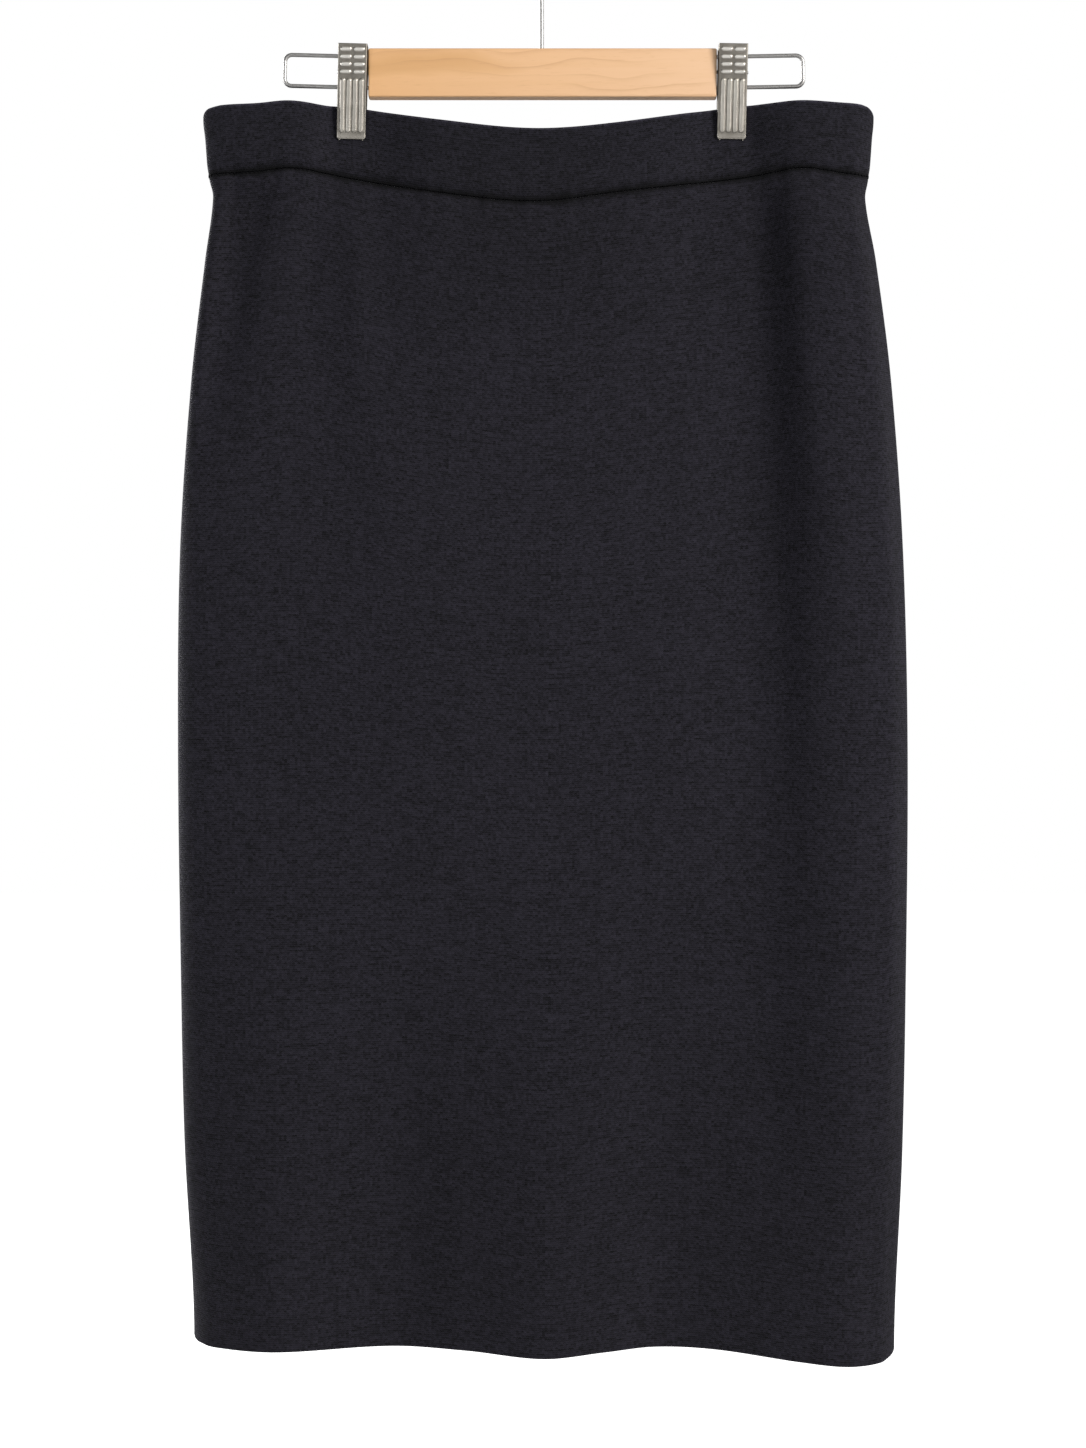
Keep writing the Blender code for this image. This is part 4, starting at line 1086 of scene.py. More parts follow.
def knit_material(yarn):
    """Black melange knit, with painted shade in several places and a painted highlight on its
    edge.
    """
    made = bpy.data.materials.new(yarn.name)
    made.use_nodes = True
    tree = made.node_tree
    shader = tree.nodes["Principled BSDF"]
    cloth_map = put(tree, "ShaderNodeUVMap", uv_map="cloth")
    knit = put(tree, "ShaderNodeGroup", node_tree=KNIT)
    tree.links.new(cloth_map.outputs[0], knit.inputs["Cloth"])
    knit.inputs["Course"].default_value = yarn.course
    knit.inputs["Wale"].default_value = yarn.wale
    knit.inputs["Slub"].default_value = yarn.slub
    across, drop, _ = put(tree, "ShaderNodeSeparateXYZ", {0: cloth_map.outputs[0]}).outputs
    # This noise makes the painted seam shade uneven along the seam
    pull = put(tree, "ShaderNodeTexNoise", {
        "Vector": cloth_map.outputs[0], "Scale": SEAM_SHADE_WOBBLE_SIZE, "Detail": 5.0,
        "Roughness": 0.7,
    }, noise_dimensions="2D").outputs[0]
    # Painted shade along the waist seam's groove, with the darker doubled linked stitches
    # there
    off = maths(tree, "ABSOLUTE", maths(tree, "SUBTRACT", drop, BAND_DEEP))
    off = maths(tree, "MULTIPLY", off, spread(tree, pull, *SEAM_SHADE_WOBBLE_SPREAD))
    seam_shade = spread(tree, off, SEAM_SHADE_CORE, SEAM_SHADE_HALF, SEAM_SHADE_DARK, 1.0)
    tone = maths(tree, "MULTIPLY", knit.outputs["Tone"], seam_shade)
    # Painted highlight: the turned waist edge is made paler, as if it caught the light
    edge_highlight = spread(tree, drop, 0.0, EDGE_HIGHLIGHT_DEEP, EDGE_HIGHLIGHT_GAIN, 1.0)
    tone = maths(tree, "MULTIPLY", tone, edge_highlight)
    # Painted shade in the middle just under the band, fading out further down
    beside = maths(tree, "ABSOLUTE", maths(tree, "SUBTRACT", across, MIDDLE_SHADE_X))
    middle_shade = spread(tree, beside, MIDDLE_SHADE_CORE, MIDDLE_SHADE_REACH, MIDDLE_SHADE_DARK, 0.0)
    middle_shade = maths(tree, "MULTIPLY", middle_shade, spread(tree, drop, BAND_DEEP, MIDDLE_SHADE_END, 1.0, 0.0))
    tone = maths(tree, "MULTIPLY", tone, maths(tree, "SUBTRACT", 1.0, middle_shade))
    # Painted shade over the top of the skirt
    upper_shade = spread(tree, drop, UPPER_SHADE_FROM, UPPER_SHADE_TO, UPPER_SHADE_DARK, 1.0)
    tone = maths(tree, "MULTIPLY", tone, upper_shade)
    # Painted shade towards the hem
    lower_shade = spread(tree, drop, LOWER_SHADE_START, LOWER_SHADE_END, 1.0, LOWER_SHADE_DARK)
    tone = maths(tree, "MULTIPLY", tone, lower_shade)
    tone = put(tree, "ShaderNodeCombineColor", {0: tone, 1: tone, 2: tone})
    colour = blend_colour(tree, 1.0, yarn.colour, tone.outputs[0], "MULTIPLY")
    tree.links.new(colour, shader.inputs["Base Color"])
    rough = spread(tree, knit.outputs["Height"], 0.0, 1.0, ROUGH_GROOVE, ROUGH_CROWN)
    tree.links.new(rough, shader.inputs["Roughness"])
    bump = put(tree, "ShaderNodeBump", {
        "Height": knit.outputs["Height"], "Strength": 0.55, "Distance": 0.00022,
    })
    tree.links.new(bump.outputs[0], shader.inputs["Normal"])
    shader.inputs["Specular IOR Level"].default_value = 0.16
    shader.inputs["Sheen Weight"].default_value = yarn.sheen
    shader.inputs["Sheen Roughness"].default_value = 0.30
    shader.inputs["Sheen Tint"].default_value = (0.90, 0.88, 1.0, 1)
    return made


KNIT_MATERIALS = {kind: knit_material(yarn) for kind, yarn in YARNS.items()}
for name, (piece, _, _) in cloth.items():
    piece.data.materials.clear()
    piece.data.materials.append(KNIT_MATERIALS[name.split("_")[0]])
print("knits:", [made.name for made in KNIT_MATERIALS.values()])

# %% [markdown]
# The thread is twisted, black and a little duller than the knit. Its colour is near black,
# as dark as the painted shade in the waist seam's groove, so a seam reads as a dark line.
# With its material made, both kinds of seam can be sewn.

# %% The thread
# The thread's own black, set as dark as the painted shade in the waist seam
THREAD_DARK, THREAD_LIGHT = (0.0012, 0.0011, 0.0015), (0.0032, 0.0030, 0.0039)
TWISTS = 900.0


def thread_material():
    """Twisted black sewing thread."""
    made = bpy.data.materials.new("black_thread")
    made.use_nodes = True
    tree = made.node_tree
    shader = tree.nodes["Principled BSDF"]
    place = put(tree, "ShaderNodeTexCoord").outputs["Object"]
    twist = put(tree, "ShaderNodeTexWave", {
        "Vector": place, "Scale": TWISTS, "Distortion": 1.5, "Detail": 1.0,
    }, bands_direction="DIAGONAL").outputs["Fac"]
    colour = blend_colour(tree, twist, THREAD_DARK, THREAD_LIGHT)
    tree.links.new(colour, shader.inputs["Base Color"])
    bump = put(tree, "ShaderNodeBump", {"Height": twist, "Distance": 0.00008})
    tree.links.new(bump.outputs[0], shader.inputs["Normal"])
    shader.inputs["Roughness"].default_value = 0.85
    shader.inputs["Specular IOR Level"].default_value = 0.06
    return made


THREAD = thread_material()
waist_stitches = sew(Seam(
    "waist_seam_stitches", waist_seam_paths(),
    pitch=0.0024, length=0.0024, thickness=0.00062, slant=0.5,
), THREAD)
side_stitches = sew(Seam(
    "side_seam_stitches", side_seam_paths(),
    pitch=0.0034, length=0.0016, thickness=0.00055, slant=1.35,
), THREAD)

# %% [markdown]
# ## The hanger's bar
#
# The bar is a plain pale board with softened edges, drilled at each end for the two wires of
# a loop and on top for the hook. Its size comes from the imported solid. A cube with a Bevel
# modifier and five Booleans makes it, and the clear varnish is a coat in the material.

# %% The bar's shape
BAR_ROUND, BAR_SEGMENTS = 0.0011, 6
BAR_SHARP = math.radians(40)
DRILL_SIDES = 24
LOOP_WIRE, HOOK_WIRE = 0.0024, 0.0028
LOOP_HIGH_Z, LOOP_LOW_Z = -0.0866, -0.1046
LOOP_RISE = {"left": math.radians(1.5), "right": math.radians(1.0)}
LOOP_SEAT, HOOK_SEAT = 0.0180, 0.0100
SHANK_X = -0.0009
DRILL_ROOM = 0.0003
PIN_Z = (LOOP_HIGH_Z + LOOP_LOW_Z) / 2
bar_low, bar_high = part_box("hanger_bar")


def loop_frame(side):
    """A wire loop's frame: at the bar's end, between its two legs, x out along them."""
    end = bar_low.x if side == "left" else bar_high.x
    turn = math.pi + LOOP_RISE[side] if side == "left" else -LOOP_RISE[side]
    return Matrix.Translation((end, 0, PIN_Z)) @ Matrix.Rotation(turn, 4, "Y")


def drill(radius, long, frame_of_hole):
    """A cylinder along x of its frame, to cut a hole with."""
    cage = bmesh.new()
    bmesh.ops.create_cone(
        cage, cap_ends=True, segments=DRILL_SIDES, radius1=radius, radius2=radius,
        depth=long, matrix=frame_of_hole @ Matrix.Rotation(math.pi / 2, 4, "Y"),
    )
    mesh = bpy.data.meshes.new("drill")
    cage.to_mesh(mesh)
    cage.free()
    return new_piece("drill", mesh)


def cut(piece, cutters):
    """Cuts holes with Booleans, and removes the cutters."""
    for i, cutter in enumerate(cutters):
        hole = piece.modifiers.new(f"hole_{i}", "BOOLEAN")
        hole.operation = "DIFFERENCE"
        hole.object = cutter
    settle(piece)
    for cutter in cutters:
        bpy.data.objects.remove(cutter, do_unlink=True)


def wooden_bar():
    """The board, softened at its edges and then drilled."""
    size = bar_high - bar_low
    cage = bmesh.new()
    matrix = Matrix.Translation((bar_low + bar_high) / 2) @ Matrix.Diagonal((*size, 1))
    bmesh.ops.create_cube(cage, size=1.0, matrix=matrix)
    mesh = bpy.data.meshes.new("wooden_bar")
    cage.to_mesh(mesh)
    cage.free()
    bar = new_piece("wooden_bar", mesh)
    edges = bar.modifiers.new("softened_edges", "BEVEL")
    edges.width = BAR_ROUND
    edges.segments = BAR_SEGMENTS
    settle(bar)
    holes = []
    for side in ("left", "right"):
        for z in (LOOP_HIGH_Z, LOOP_LOW_Z):
            at = loop_frame(side) @ Matrix.Translation((0, 0, z - PIN_Z))
            holes.append(drill(LOOP_WIRE / 2 + DRILL_ROOM, 2 * LOOP_SEAT, at))
    at = Matrix.Translation((SHANK_X, 0, bar_high.z)) @ Matrix.Rotation(math.pi / 2, 4, "Y")
    holes.append(drill(HOOK_WIRE / 2 + DRILL_ROOM, 2 * HOOK_SEAT, at))
    cut(bar, holes)
    bar.data.shade_smooth()
    bar.data.set_sharp_from_angle(angle=BAR_SHARP)
    print("bar:", len(bar.data.polygons), "faces")
    return bar


bar = wooden_bar()

# %% [markdown]
# The board is pale, with a few faint lines of late wood that sway along it, fine streaks
# and tiny dark pores. Its left third is oranger at mid height, nearer the tree's heart. A
# Wave texture would repeat too evenly, so the lines are the height on the board, pushed up
# and down by drawn-out noise. Handling marks are shared with the metals: they are a group.

# %% Handling marks, for wood and metal


def handling_group():
    """Faint smudges and fine scratches from handling."""
    tree, inputs, outputs = new_group("handling_marks", (
        ("Place", VECTOR, None), ("Smudge Size", VALUE, 60.0), ("Scratch Size", VALUE, 400.0),
    ), (("Smudge", VALUE), ("Scratch", VALUE)))
    smudge = put(tree, "ShaderNodeTexNoise", {
        "Vector": inputs["Place"], "Scale": inputs["Smudge Size"], "Detail": 4.0,
        "Roughness": 0.62,
    }).outputs[0]
    stretched = put(tree, "ShaderNodeMapping", {
        "Vector": inputs["Place"], "Scale": (1.0, 1.0, 0.09), "Rotation": (0.0, 0.35, 0.0),
    }).outputs[0]
    scratch = put(tree, "ShaderNodeTexNoise", {
        "Vector": stretched, "Scale": inputs["Scratch Size"], "Detail": 2.0,
    }).outputs[0]
    tree.links.new(spread(tree, smudge, 0.35, 0.68), outputs.inputs["Smudge"])
    tree.links.new(spread(tree, scratch, 0.58, 0.74), outputs.inputs["Scratch"])
    return tree


HANDLING = handling_group()

# %% The varnished wood
RINGS_PER_METRE = 150.0
WOOD_LEFT, WOOD_RIGHT = (0.672, 0.383, 0.177), (0.662, 0.424, 0.254)
WOOD_HEART, WOOD_DARK = (0.565, 0.310, 0.125), (0.420, 0.210, 0.085)
HEART = (-0.075, -0.0885)  # the middle of the darker, oranger zone, x and z
HEART_LONG, HEART_HIGH = 0.060, 0.0075
# How fast each noise changes along, through and up the board
SWAY, LATE_PATCHES = (14.0, 30.0, 45.0), (12.0, 25.0, 40.0)
PORES, STREAKS = (130.0, 900.0, 1500.0), (9.0, 120.0, 240.0)
SWAY_HIGH, RING_LEAN = 0.016, 0.7
LATE_SHARP = 5.0  # a ring darkens slowly and ends at once
LATE_SHARE, STREAK_SHARE, PORE_SHARE = 0.42, 0.22, 0.22


def wood_material():
    """Pale varnished maple, with its rings, streaks, pores and darker heart."""
    made = bpy.data.materials.new("pale_maple")
    made.use_nodes = True
    tree = made.node_tree
    shader = tree.nodes["Principled BSDF"]
    place = put(tree, "ShaderNodeTexCoord").outputs["Object"]
    parts = put(tree, "ShaderNodeSeparateXYZ", {0: place}).outputs

    def drawn_out(scale, detail, shift=(0.0, 0.0, 0.0)):
        """Noise that is stretched along the board."""
        mapped = put(tree, "ShaderNodeMapping", {
            "Vector": place, "Scale": scale, "Location": shift,
        }).outputs[0]
        return put(tree, "ShaderNodeTexNoise", {
            "Vector": mapped, "Scale": 1.0, "Detail": detail, "Roughness": 0.55,
        }).outputs[0]

    sway = drawn_out(SWAY, 2.0)
    high = maths(tree, "MULTIPLY_ADD", sway, SWAY_HIGH, parts[2])
    high = maths(tree, "MULTIPLY_ADD", parts[1], RING_LEAN, high)
    rings = maths(tree, "FRACT", maths(tree, "MULTIPLY", high, RINGS_PER_METRE))
    late = maths(tree, "POWER", rings, LATE_SHARP)
    late = maths(tree, "MULTIPLY", late, spread(
        tree, drawn_out(LATE_PATCHES, 1.0, (3.1, 0.0, 0.0)), 0.42, 0.62,
    ))
    pores = spread(tree, drawn_out(PORES, 2.0), 0.60, 0.78)
    streaks = drawn_out(STREAKS, 4.0)
    lengthwise = spread(tree, parts[0], bar_low.x, bar_high.x)
    colour = blend_colour(tree, lengthwise, WOOD_LEFT, WOOD_RIGHT)
    heart_x = maths(tree, "DIVIDE", maths(tree, "SUBTRACT", parts[0], HEART[0]), HEART_LONG)
    heart_z = maths(tree, "DIVIDE", maths(tree, "SUBTRACT", high, HEART[1]), HEART_HIGH)
    heart = maths(tree, "ADD", maths(tree, "POWER", heart_x, 2.0),
                  maths(tree, "POWER", heart_z, 2.0))
    heart = spread(tree, heart, 0.2, 1.3, 0.75, 0.0)
    colour = blend_colour(tree, heart, colour, WOOD_HEART)
    ring = maths(tree, "MULTIPLY", late, LATE_SHARE)
    colour = blend_colour(tree, ring, colour, WOOD_DARK)
    grain = spread(tree, streaks, 0.45, 0.75, 0.0, STREAK_SHARE)
    colour = blend_colour(tree, grain, colour, WOOD_HEART)
    pored = maths(tree, "MULTIPLY", pores, PORE_SHARE)
    colour = blend_colour(tree, pored, colour, WOOD_DARK)
    tree.links.new(colour, shader.inputs["Base Color"])
    marks = put(tree, "ShaderNodeGroup", node_tree=HANDLING)
    tree.links.new(place, marks.inputs["Place"])
    marks.inputs["Smudge Size"].default_value = 45.0
    rough = spread(tree, marks.outputs["Smudge"], 0.0, 1.0, 0.42, 0.54)
    tree.links.new(rough, shader.inputs["Roughness"])
    relief = maths(tree, "MULTIPLY_ADD", late, 0.5, streaks)
    bump = put(tree, "ShaderNodeBump", {
        "Height": relief, "Strength": 0.25, "Distance": 0.00010,
    })
    tree.links.new(bump.outputs[0], shader.inputs["Normal"])
    shader.inputs["Coat Weight"].default_value = 0.18
    shader.inputs["Coat Roughness"].default_value = 0.30
    return made


bar.data.materials.clear()
bar.data.materials.append(wood_material())

# %% [markdown]
# ## The metals
#
# The plates are satin nickel over steel. Painted shade darkens the flat metal between the
# ribs, which is also rougher, so that the raised crowns stand out as painted highlights; the
# plates' UV map carries how far each point is raised.
# Wire and spring are the same nodes with other numbers: drawn wire is brighter, spring steel
# greyer.

# %% The metals
Metal = namedtuple("Metal", "name bright dull smooth rough grain pressed")
METALS = {
    "plate": Metal("satin_nickel", (0.58, 0.545, 0.49), (0.19, 0.175, 0.153), 0.30, 0.50,
                   520.0, True),
    "wire": Metal("bright_drawn_wire", (0.42, 0.41, 0.40), (0.30, 0.295, 0.29), 0.38, 0.50,
                  700.0, False),
    "spring": Metal("spring_steel_wire", (0.36, 0.36, 0.37), (0.27, 0.27, 0.28), 0.34, 0.46,
                    700.0, False),
}
# How much smudges and scratches dull the metal, and how much painted shade darkens the
# flat metal between the ribs
SMUDGE_DULL, FLAT_SHADE, SCRATCH_DULL = 0.30, 0.80, 0.12
# Both are a stretch of the plate's height with the values at its two ends: the painted
# shade is weaker at the foot, which paints its lip brighter, and the dashes get a painted
# highlight.
FOOT_HIGHLIGHT_SPAN = (0.02, 0.085, 0.40, 1.0)
# Painted highlight on the dashes: where it starts on the plate, and its colour
DASH_HIGHLIGHT_SPAN = (0.66, 0.70, 0.0, 0.75)
DASH_HIGHLIGHT_COLOUR = (0.90, 0.87, 0.82)


def metal_material(metal):
    """Plated sheet or drawn wire, duller where it is handled, with painted shade and
    highlights on a plate.
    """
    made = bpy.data.materials.new(metal.name)
    made.use_nodes = True
    tree = made.node_tree
    shader = tree.nodes["Principled BSDF"]
    place = put(tree, "ShaderNodeTexCoord").outputs["Object"]
    marks = put(tree, "ShaderNodeGroup", node_tree=HANDLING)
    tree.links.new(place, marks.inputs["Place"])
    marks.inputs["Smudge Size"].default_value = 90.0
    marks.inputs["Scratch Size"].default_value = metal.grain
    dull = maths(tree, "MULTIPLY", marks.outputs["Smudge"], SMUDGE_DULL)
    if metal.pressed:
        # Painted shade on the flat metal between the raised crowns, weaker at the foot, whose
        # lip is painted brighter; the same mask makes the flat metal rougher
        press, up, _ = put(tree, "ShaderNodeSeparateXYZ", {
            0: put(tree, "ShaderNodeUVMap", uv_map="press").outputs[0],
        }).outputs
        flat = maths(tree, "SUBTRACT", 1.0, press)
        flat = maths(tree, "MULTIPLY", flat, spread(tree, up, *FOOT_HIGHLIGHT_SPAN))
        dull = maths(tree, "MULTIPLY_ADD", flat, FLAT_SHADE, dull)
    dull = maths(tree, "MULTIPLY_ADD", marks.outputs["Scratch"], SCRATCH_DULL, dull,
                 clamp=True)
    # The colour darkens with smudges, scratches and the painted shade
    colour = blend_colour(tree, dull, metal.bright, metal.dull)
    if metal.pressed:
        # Painted highlight on the dashes' raised crowns
        dash_highlight = maths(tree, "MULTIPLY", press, spread(tree, up, *DASH_HIGHLIGHT_SPAN))
        colour = blend_colour(tree, dash_highlight, colour, DASH_HIGHLIGHT_COLOUR)
    tree.links.new(colour, shader.inputs["Base Color"])
    tree.links.new(spread(tree, dull, 0.0, 1.0, metal.smooth, metal.rough),
                   shader.inputs["Roughness"])
    bump = put(tree, "ShaderNodeBump", {
        "Height": marks.outputs["Scratch"], "Strength": 0.12, "Distance": 0.00003,
    })
    tree.links.new(bump.outputs[0], shader.inputs["Normal"])
    shader.inputs["Metallic"].default_value = 1.0
    return made


METAL_MATERIALS = {kind: metal_material(metal) for kind, metal in METALS.items()}
print("metals:", [made.name for made in METAL_MATERIALS.values()])

# %% [markdown]
# ## Wires
#
# The hook, the two slide loops, the pivot pins and the coil springs are all round wire with
# tidy ends, made by the same tree as the seams' thread. Each end is rounded by more points,
# where the taper shrinks along a quarter circle, because cut wire is tumbled or ground.

# %% Round wire
END_STEPS = 5


def wire(name, points, thick, finish, sides=20):
    """A round wire with rounded ends, as a closed mesh."""
    radius = thick / 2
    points = [Vector(point) for point in points]
    knots = [(point, 1.0) for point in points]
    for at_start in (True, False):
        tip, before = (points[0], points[1]) if at_start else (points[-1], points[-2])
        heading = (tip - before).normalized()
        caps = []
        for i in range(1, END_STEPS + 1):
            turn = math.pi / 2 * i / (END_STEPS + 0.25)
            caps.append((tip + heading * radius * math.sin(turn), math.cos(turn)))
        knots = caps[::-1] + knots if at_start else knots + caps
    line = [place for place, _ in knots]
    path = path_mesh(name, [(line, [(0.0, 0.0, 0.0)] * len(line))], [t for _, t in knots])
    return made_by(ROUND_WIRE, name, path, {
        "Thickness": thick, "Sides": sides, "Finish": finish,
    })


# %% The hook
HOOK_BORE = 0.0190
SHANK_TOP = -0.0530
CROOK_START, CROOK_END = math.radians(-38), math.radians(196)
CROOK_STEPS, NECK_STEPS = 56, 16
NECK_PULL = 0.45


def hook_points():
    """Shank, a bend to one side, and the crook, all in the plane of the hanger."""
    radius = HOOK_BORE + HOOK_WIRE / 2

    def on_crook(turn):
        return Vector((radius * math.cos(turn), 0, radius * math.sin(turn) - HOOK_BORE))

    neck, joins = Vector((SHANK_X, 0, SHANK_TOP)), on_crook(CROOK_START)
    heading = Vector((-math.sin(CROOK_START), 0, math.cos(CROOK_START)))
    pull = NECK_PULL * (joins - neck).length
    bend_a, bend_b = neck + Vector((0, 0, pull)), joins - pull * heading
    points = [Vector((SHANK_X, 0, bar_high.z - HOOK_SEAT + HOOK_WIRE / 2)), neck]
    for i in range(1, NECK_STEPS):
        t = i / NECK_STEPS
        points.append(
            (1 - t) ** 3 * neck + 3 * (1 - t) ** 2 * t * bend_a
            + 3 * (1 - t) * t**2 * bend_b + t**3 * joins
        )
    sweep = (CROOK_END - CROOK_START) / CROOK_STEPS
    return points + [on_crook(CROOK_START + sweep * i) for i in range(CROOK_STEPS + 1)]


hook = wire("wire_hook", hook_points(), HOOK_WIRE, METAL_MATERIALS["wire"])
print("hook:", len(hook.data.polygons), "faces")

# %% The slide loops
LOOP_REACH = {"left": 0.1510, "right": 0.1520}
LOOP_CORNER = 0.0042
CORNER_STEPS = 12


def loop_points(side):
    """Two legs out of the bar's end, joined by rounded corners."""
    at = loop_frame(side)
    half = (LOOP_HIGH_Z - LOOP_LOW_Z) / 2
    reach = LOOP_REACH[side] - abs(at.translation.x) - LOOP_WIRE / 2
    middle_x, middle_z = reach - LOOP_CORNER, half - LOOP_CORNER
    seat = -LOOP_SEAT + LOOP_WIRE / 2
    points = [(seat, 0, half)]
    for z, first in ((middle_z, math.pi / 2), (-middle_z, 0.0)):
        for i in range(CORNER_STEPS + 1):
            turn = first - math.pi / 2 * i / CORNER_STEPS
            points.append((
                middle_x + LOOP_CORNER * math.cos(turn), 0, z + LOOP_CORNER * math.sin(turn),
            ))
    points.append((seat, 0, -half))
    return [at @ Vector(point) for point in points]


loops = {
    side: wire(f"slide_loop_{side}", loop_points(side), LOOP_WIRE, METAL_MATERIALS["wire"])
    for side in ("left", "right")
}
print("loops:", [len(loop.data.polygons) for loop in loops.values()], "faces")

# %% [markdown]
# ## The clips
#
# A trouser clip is two plates stamped from sheet steel, hinged on a pin and closed by a
# torsion spring. The press raises four ribs and eight dashes in each plate, turns its rim
# back, and folds two side walls out of the front one. Such a sheet is one continuous
# surface, so each plate is a single grid: a height function gives the relief, the outermost
# columns turn round the rim, and on the front plate they run on as the side walls. Solidify
# gives the metal its thickness, and Booleans punch the holes for the pin and the wires.

# %% Sizes of a clip
CLIP_TILT = {"left": math.radians(1.5), "right": math.radians(1.1)}
PLATE_WIDE, PLATE_TOP, PLATE_FOOT = 0.0168, 0.0152, -0.0392
PLATE_DEEP = 0.0010  # from the plate's face to the edge of its turned rim
METAL = 0.0007
JAW_Y = 0.00295
PLATE_LEAN = math.radians(6.7)
RIM_ROUND = 0.0007
FOOT_ROUND, TOP_ROUND = 0.0014, 0.0007  # the corners of the outline
RIBS, RIB_PITCH, RIB_HALF, RIB_RISE = 4, 0.00365, 0.00125, 0.00070
RIB_FOOT, RIB_TOP = 0.0038, 0.0345
DASH_X, DASH_WIDE, DASH_TALL = 0.0038, 0.0060, 0.0021
DASH_ROWS, DASH_PITCH, DASH_FIRST = 4, 0.0043, 0.0384
PRESS_SOFT = 0.0009  # the width of a pressed shoulder
PIN_WIRE, PIN_PROUD = 0.0024, 0.0004
plate_tall = (PLATE_TOP - PLATE_FOOT) / math.cos(PLATE_LEAN)
print("plates:", round(plate_tall, 4), "m tall")

# %% The pressed relief


def raised(distance, half):
    """1 well inside a raised shape, 0 outside it, and a soft shoulder between them."""
    return eased(half - distance, -PRESS_SOFT / 2, PRESS_SOFT / 2)


def relief_at(x, up):
    """How far the press raises the plate, from 0 to 1."""
    total = np.zeros_like(x)
    for i in range(RIBS):
        middle = (i - (RIBS - 1) / 2) * RIB_PITCH
        past = np.maximum(np.maximum(RIB_FOOT + RIB_HALF - up, up - RIB_TOP + RIB_HALF), 0)
        total = np.maximum(total, raised(np.hypot(x - middle, past), RIB_HALF))
    corner = DASH_TALL / 2
    for row in range(DASH_ROWS):
        for middle in (-DASH_X, DASH_X):
            past_x = np.maximum(abs(x - middle) - DASH_WIDE / 2 + corner, 0)
            past_up = abs(up - DASH_FIRST - row * DASH_PITCH)
            total = np.maximum(total, raised(np.hypot(past_x, past_up), corner))
    return total


# %% The side walls of the front plate
FLANGE_BACK = 0.0030
FLANGE_ROOT, FLANGE_LOW, FLANGE_TRIM = -0.0200, -0.0120, 0.0015
WallLine = namedtuple("WallLine", "z back")
WALL_LINE = (
    WallLine(FLANGE_LOW, FLANGE_BACK - FLANGE_TRIM),
    WallLine(FLANGE_LOW + FLANGE_TRIM, FLANGE_BACK),
    WallLine(PLATE_TOP - 2 * FLANGE_TRIM, FLANGE_BACK),
    WallLine(PLATE_TOP, FLANGE_BACK - FLANGE_TRIM),
)


def wall_depth(up):
    """How far the front plate's side walls reach back from its face."""
    z = PLATE_FOOT + up * math.cos(PLATE_LEAN)
    face = -(JAW_Y + PLATE_DEEP + up * math.sin(PLATE_LEAN))
    back = np.interp(z, [row.z for row in WALL_LINE], [row.back for row in WALL_LINE])
    grows = np.clip((z - FLANGE_ROOT) / (FLANGE_LOW - FLANGE_ROOT), 0, 1)
    return PLATE_DEEP + (back - face - PLATE_DEEP) * grows


# %% One plate
RIM_STEPS, FACE_STEPS, WALL_STEPS = 5, 84, 8
# The rows are close together at the ribs' ends: 3 mm inside them, and a little outside.
RIB_BEFORE, RIB_PAST, RIB_END = 0.0005, 0.0008, 0.003


def face_rows():
    """Heights of the rows, closer together round the rim, the dashes and the rib ends."""
    dashes = DASH_FIRST - DASH_TALL, DASH_FIRST + (DASH_ROWS - 1) * DASH_PITCH + DASH_TALL
    turns = np.linspace(0, math.pi / 2, RIM_STEPS + 1)
    rim = RIM_ROUND * (1 - np.cos(turns))
    stops = (
        (RIM_ROUND, RIB_FOOT - RIB_BEFORE, 5),
        (RIB_FOOT - RIB_BEFORE, RIB_FOOT + RIB_END, 15),
        (RIB_FOOT + RIB_END, RIB_TOP - RIB_END, 12),
        (RIB_TOP - RIB_END, RIB_TOP + RIB_PAST, 16),
        (RIB_TOP + RIB_PAST, dashes[0], 5),
        (*dashes, 76),
        (dashes[1], plate_tall - RIM_ROUND, 3),
    )
    rows = list(rim)
    for low, high, steps in stops:
        rows += list(np.linspace(low, high, steps + 1)[1:])
    return np.array(rows + list(plate_tall - rim[::-1][1:]))


def plate_columns(walls):
    """Fractions across the face, and how far along the side wall each column is."""
    turns = np.linspace(0, math.pi / 2, RIM_STEPS + 1)
    share = RIM_ROUND / (PLATE_WIDE / 2)
    rim = -1 + share * (1 - np.cos(turns))
    middle = np.linspace(-1 + share, 1 - share, FACE_STEPS + 1)[1:-1]
    face = np.concatenate([rim, middle, -rim[::-1]])
    steps = WALL_STEPS if walls else 1
    wall = np.linspace(1, 0, steps + 1)[:-1]
    across = np.concatenate([np.full(steps, -1.0), face, np.full(steps, 1.0)])
    along = np.concatenate([wall, np.zeros(len(face)), wall[::-1]])
    return across, along


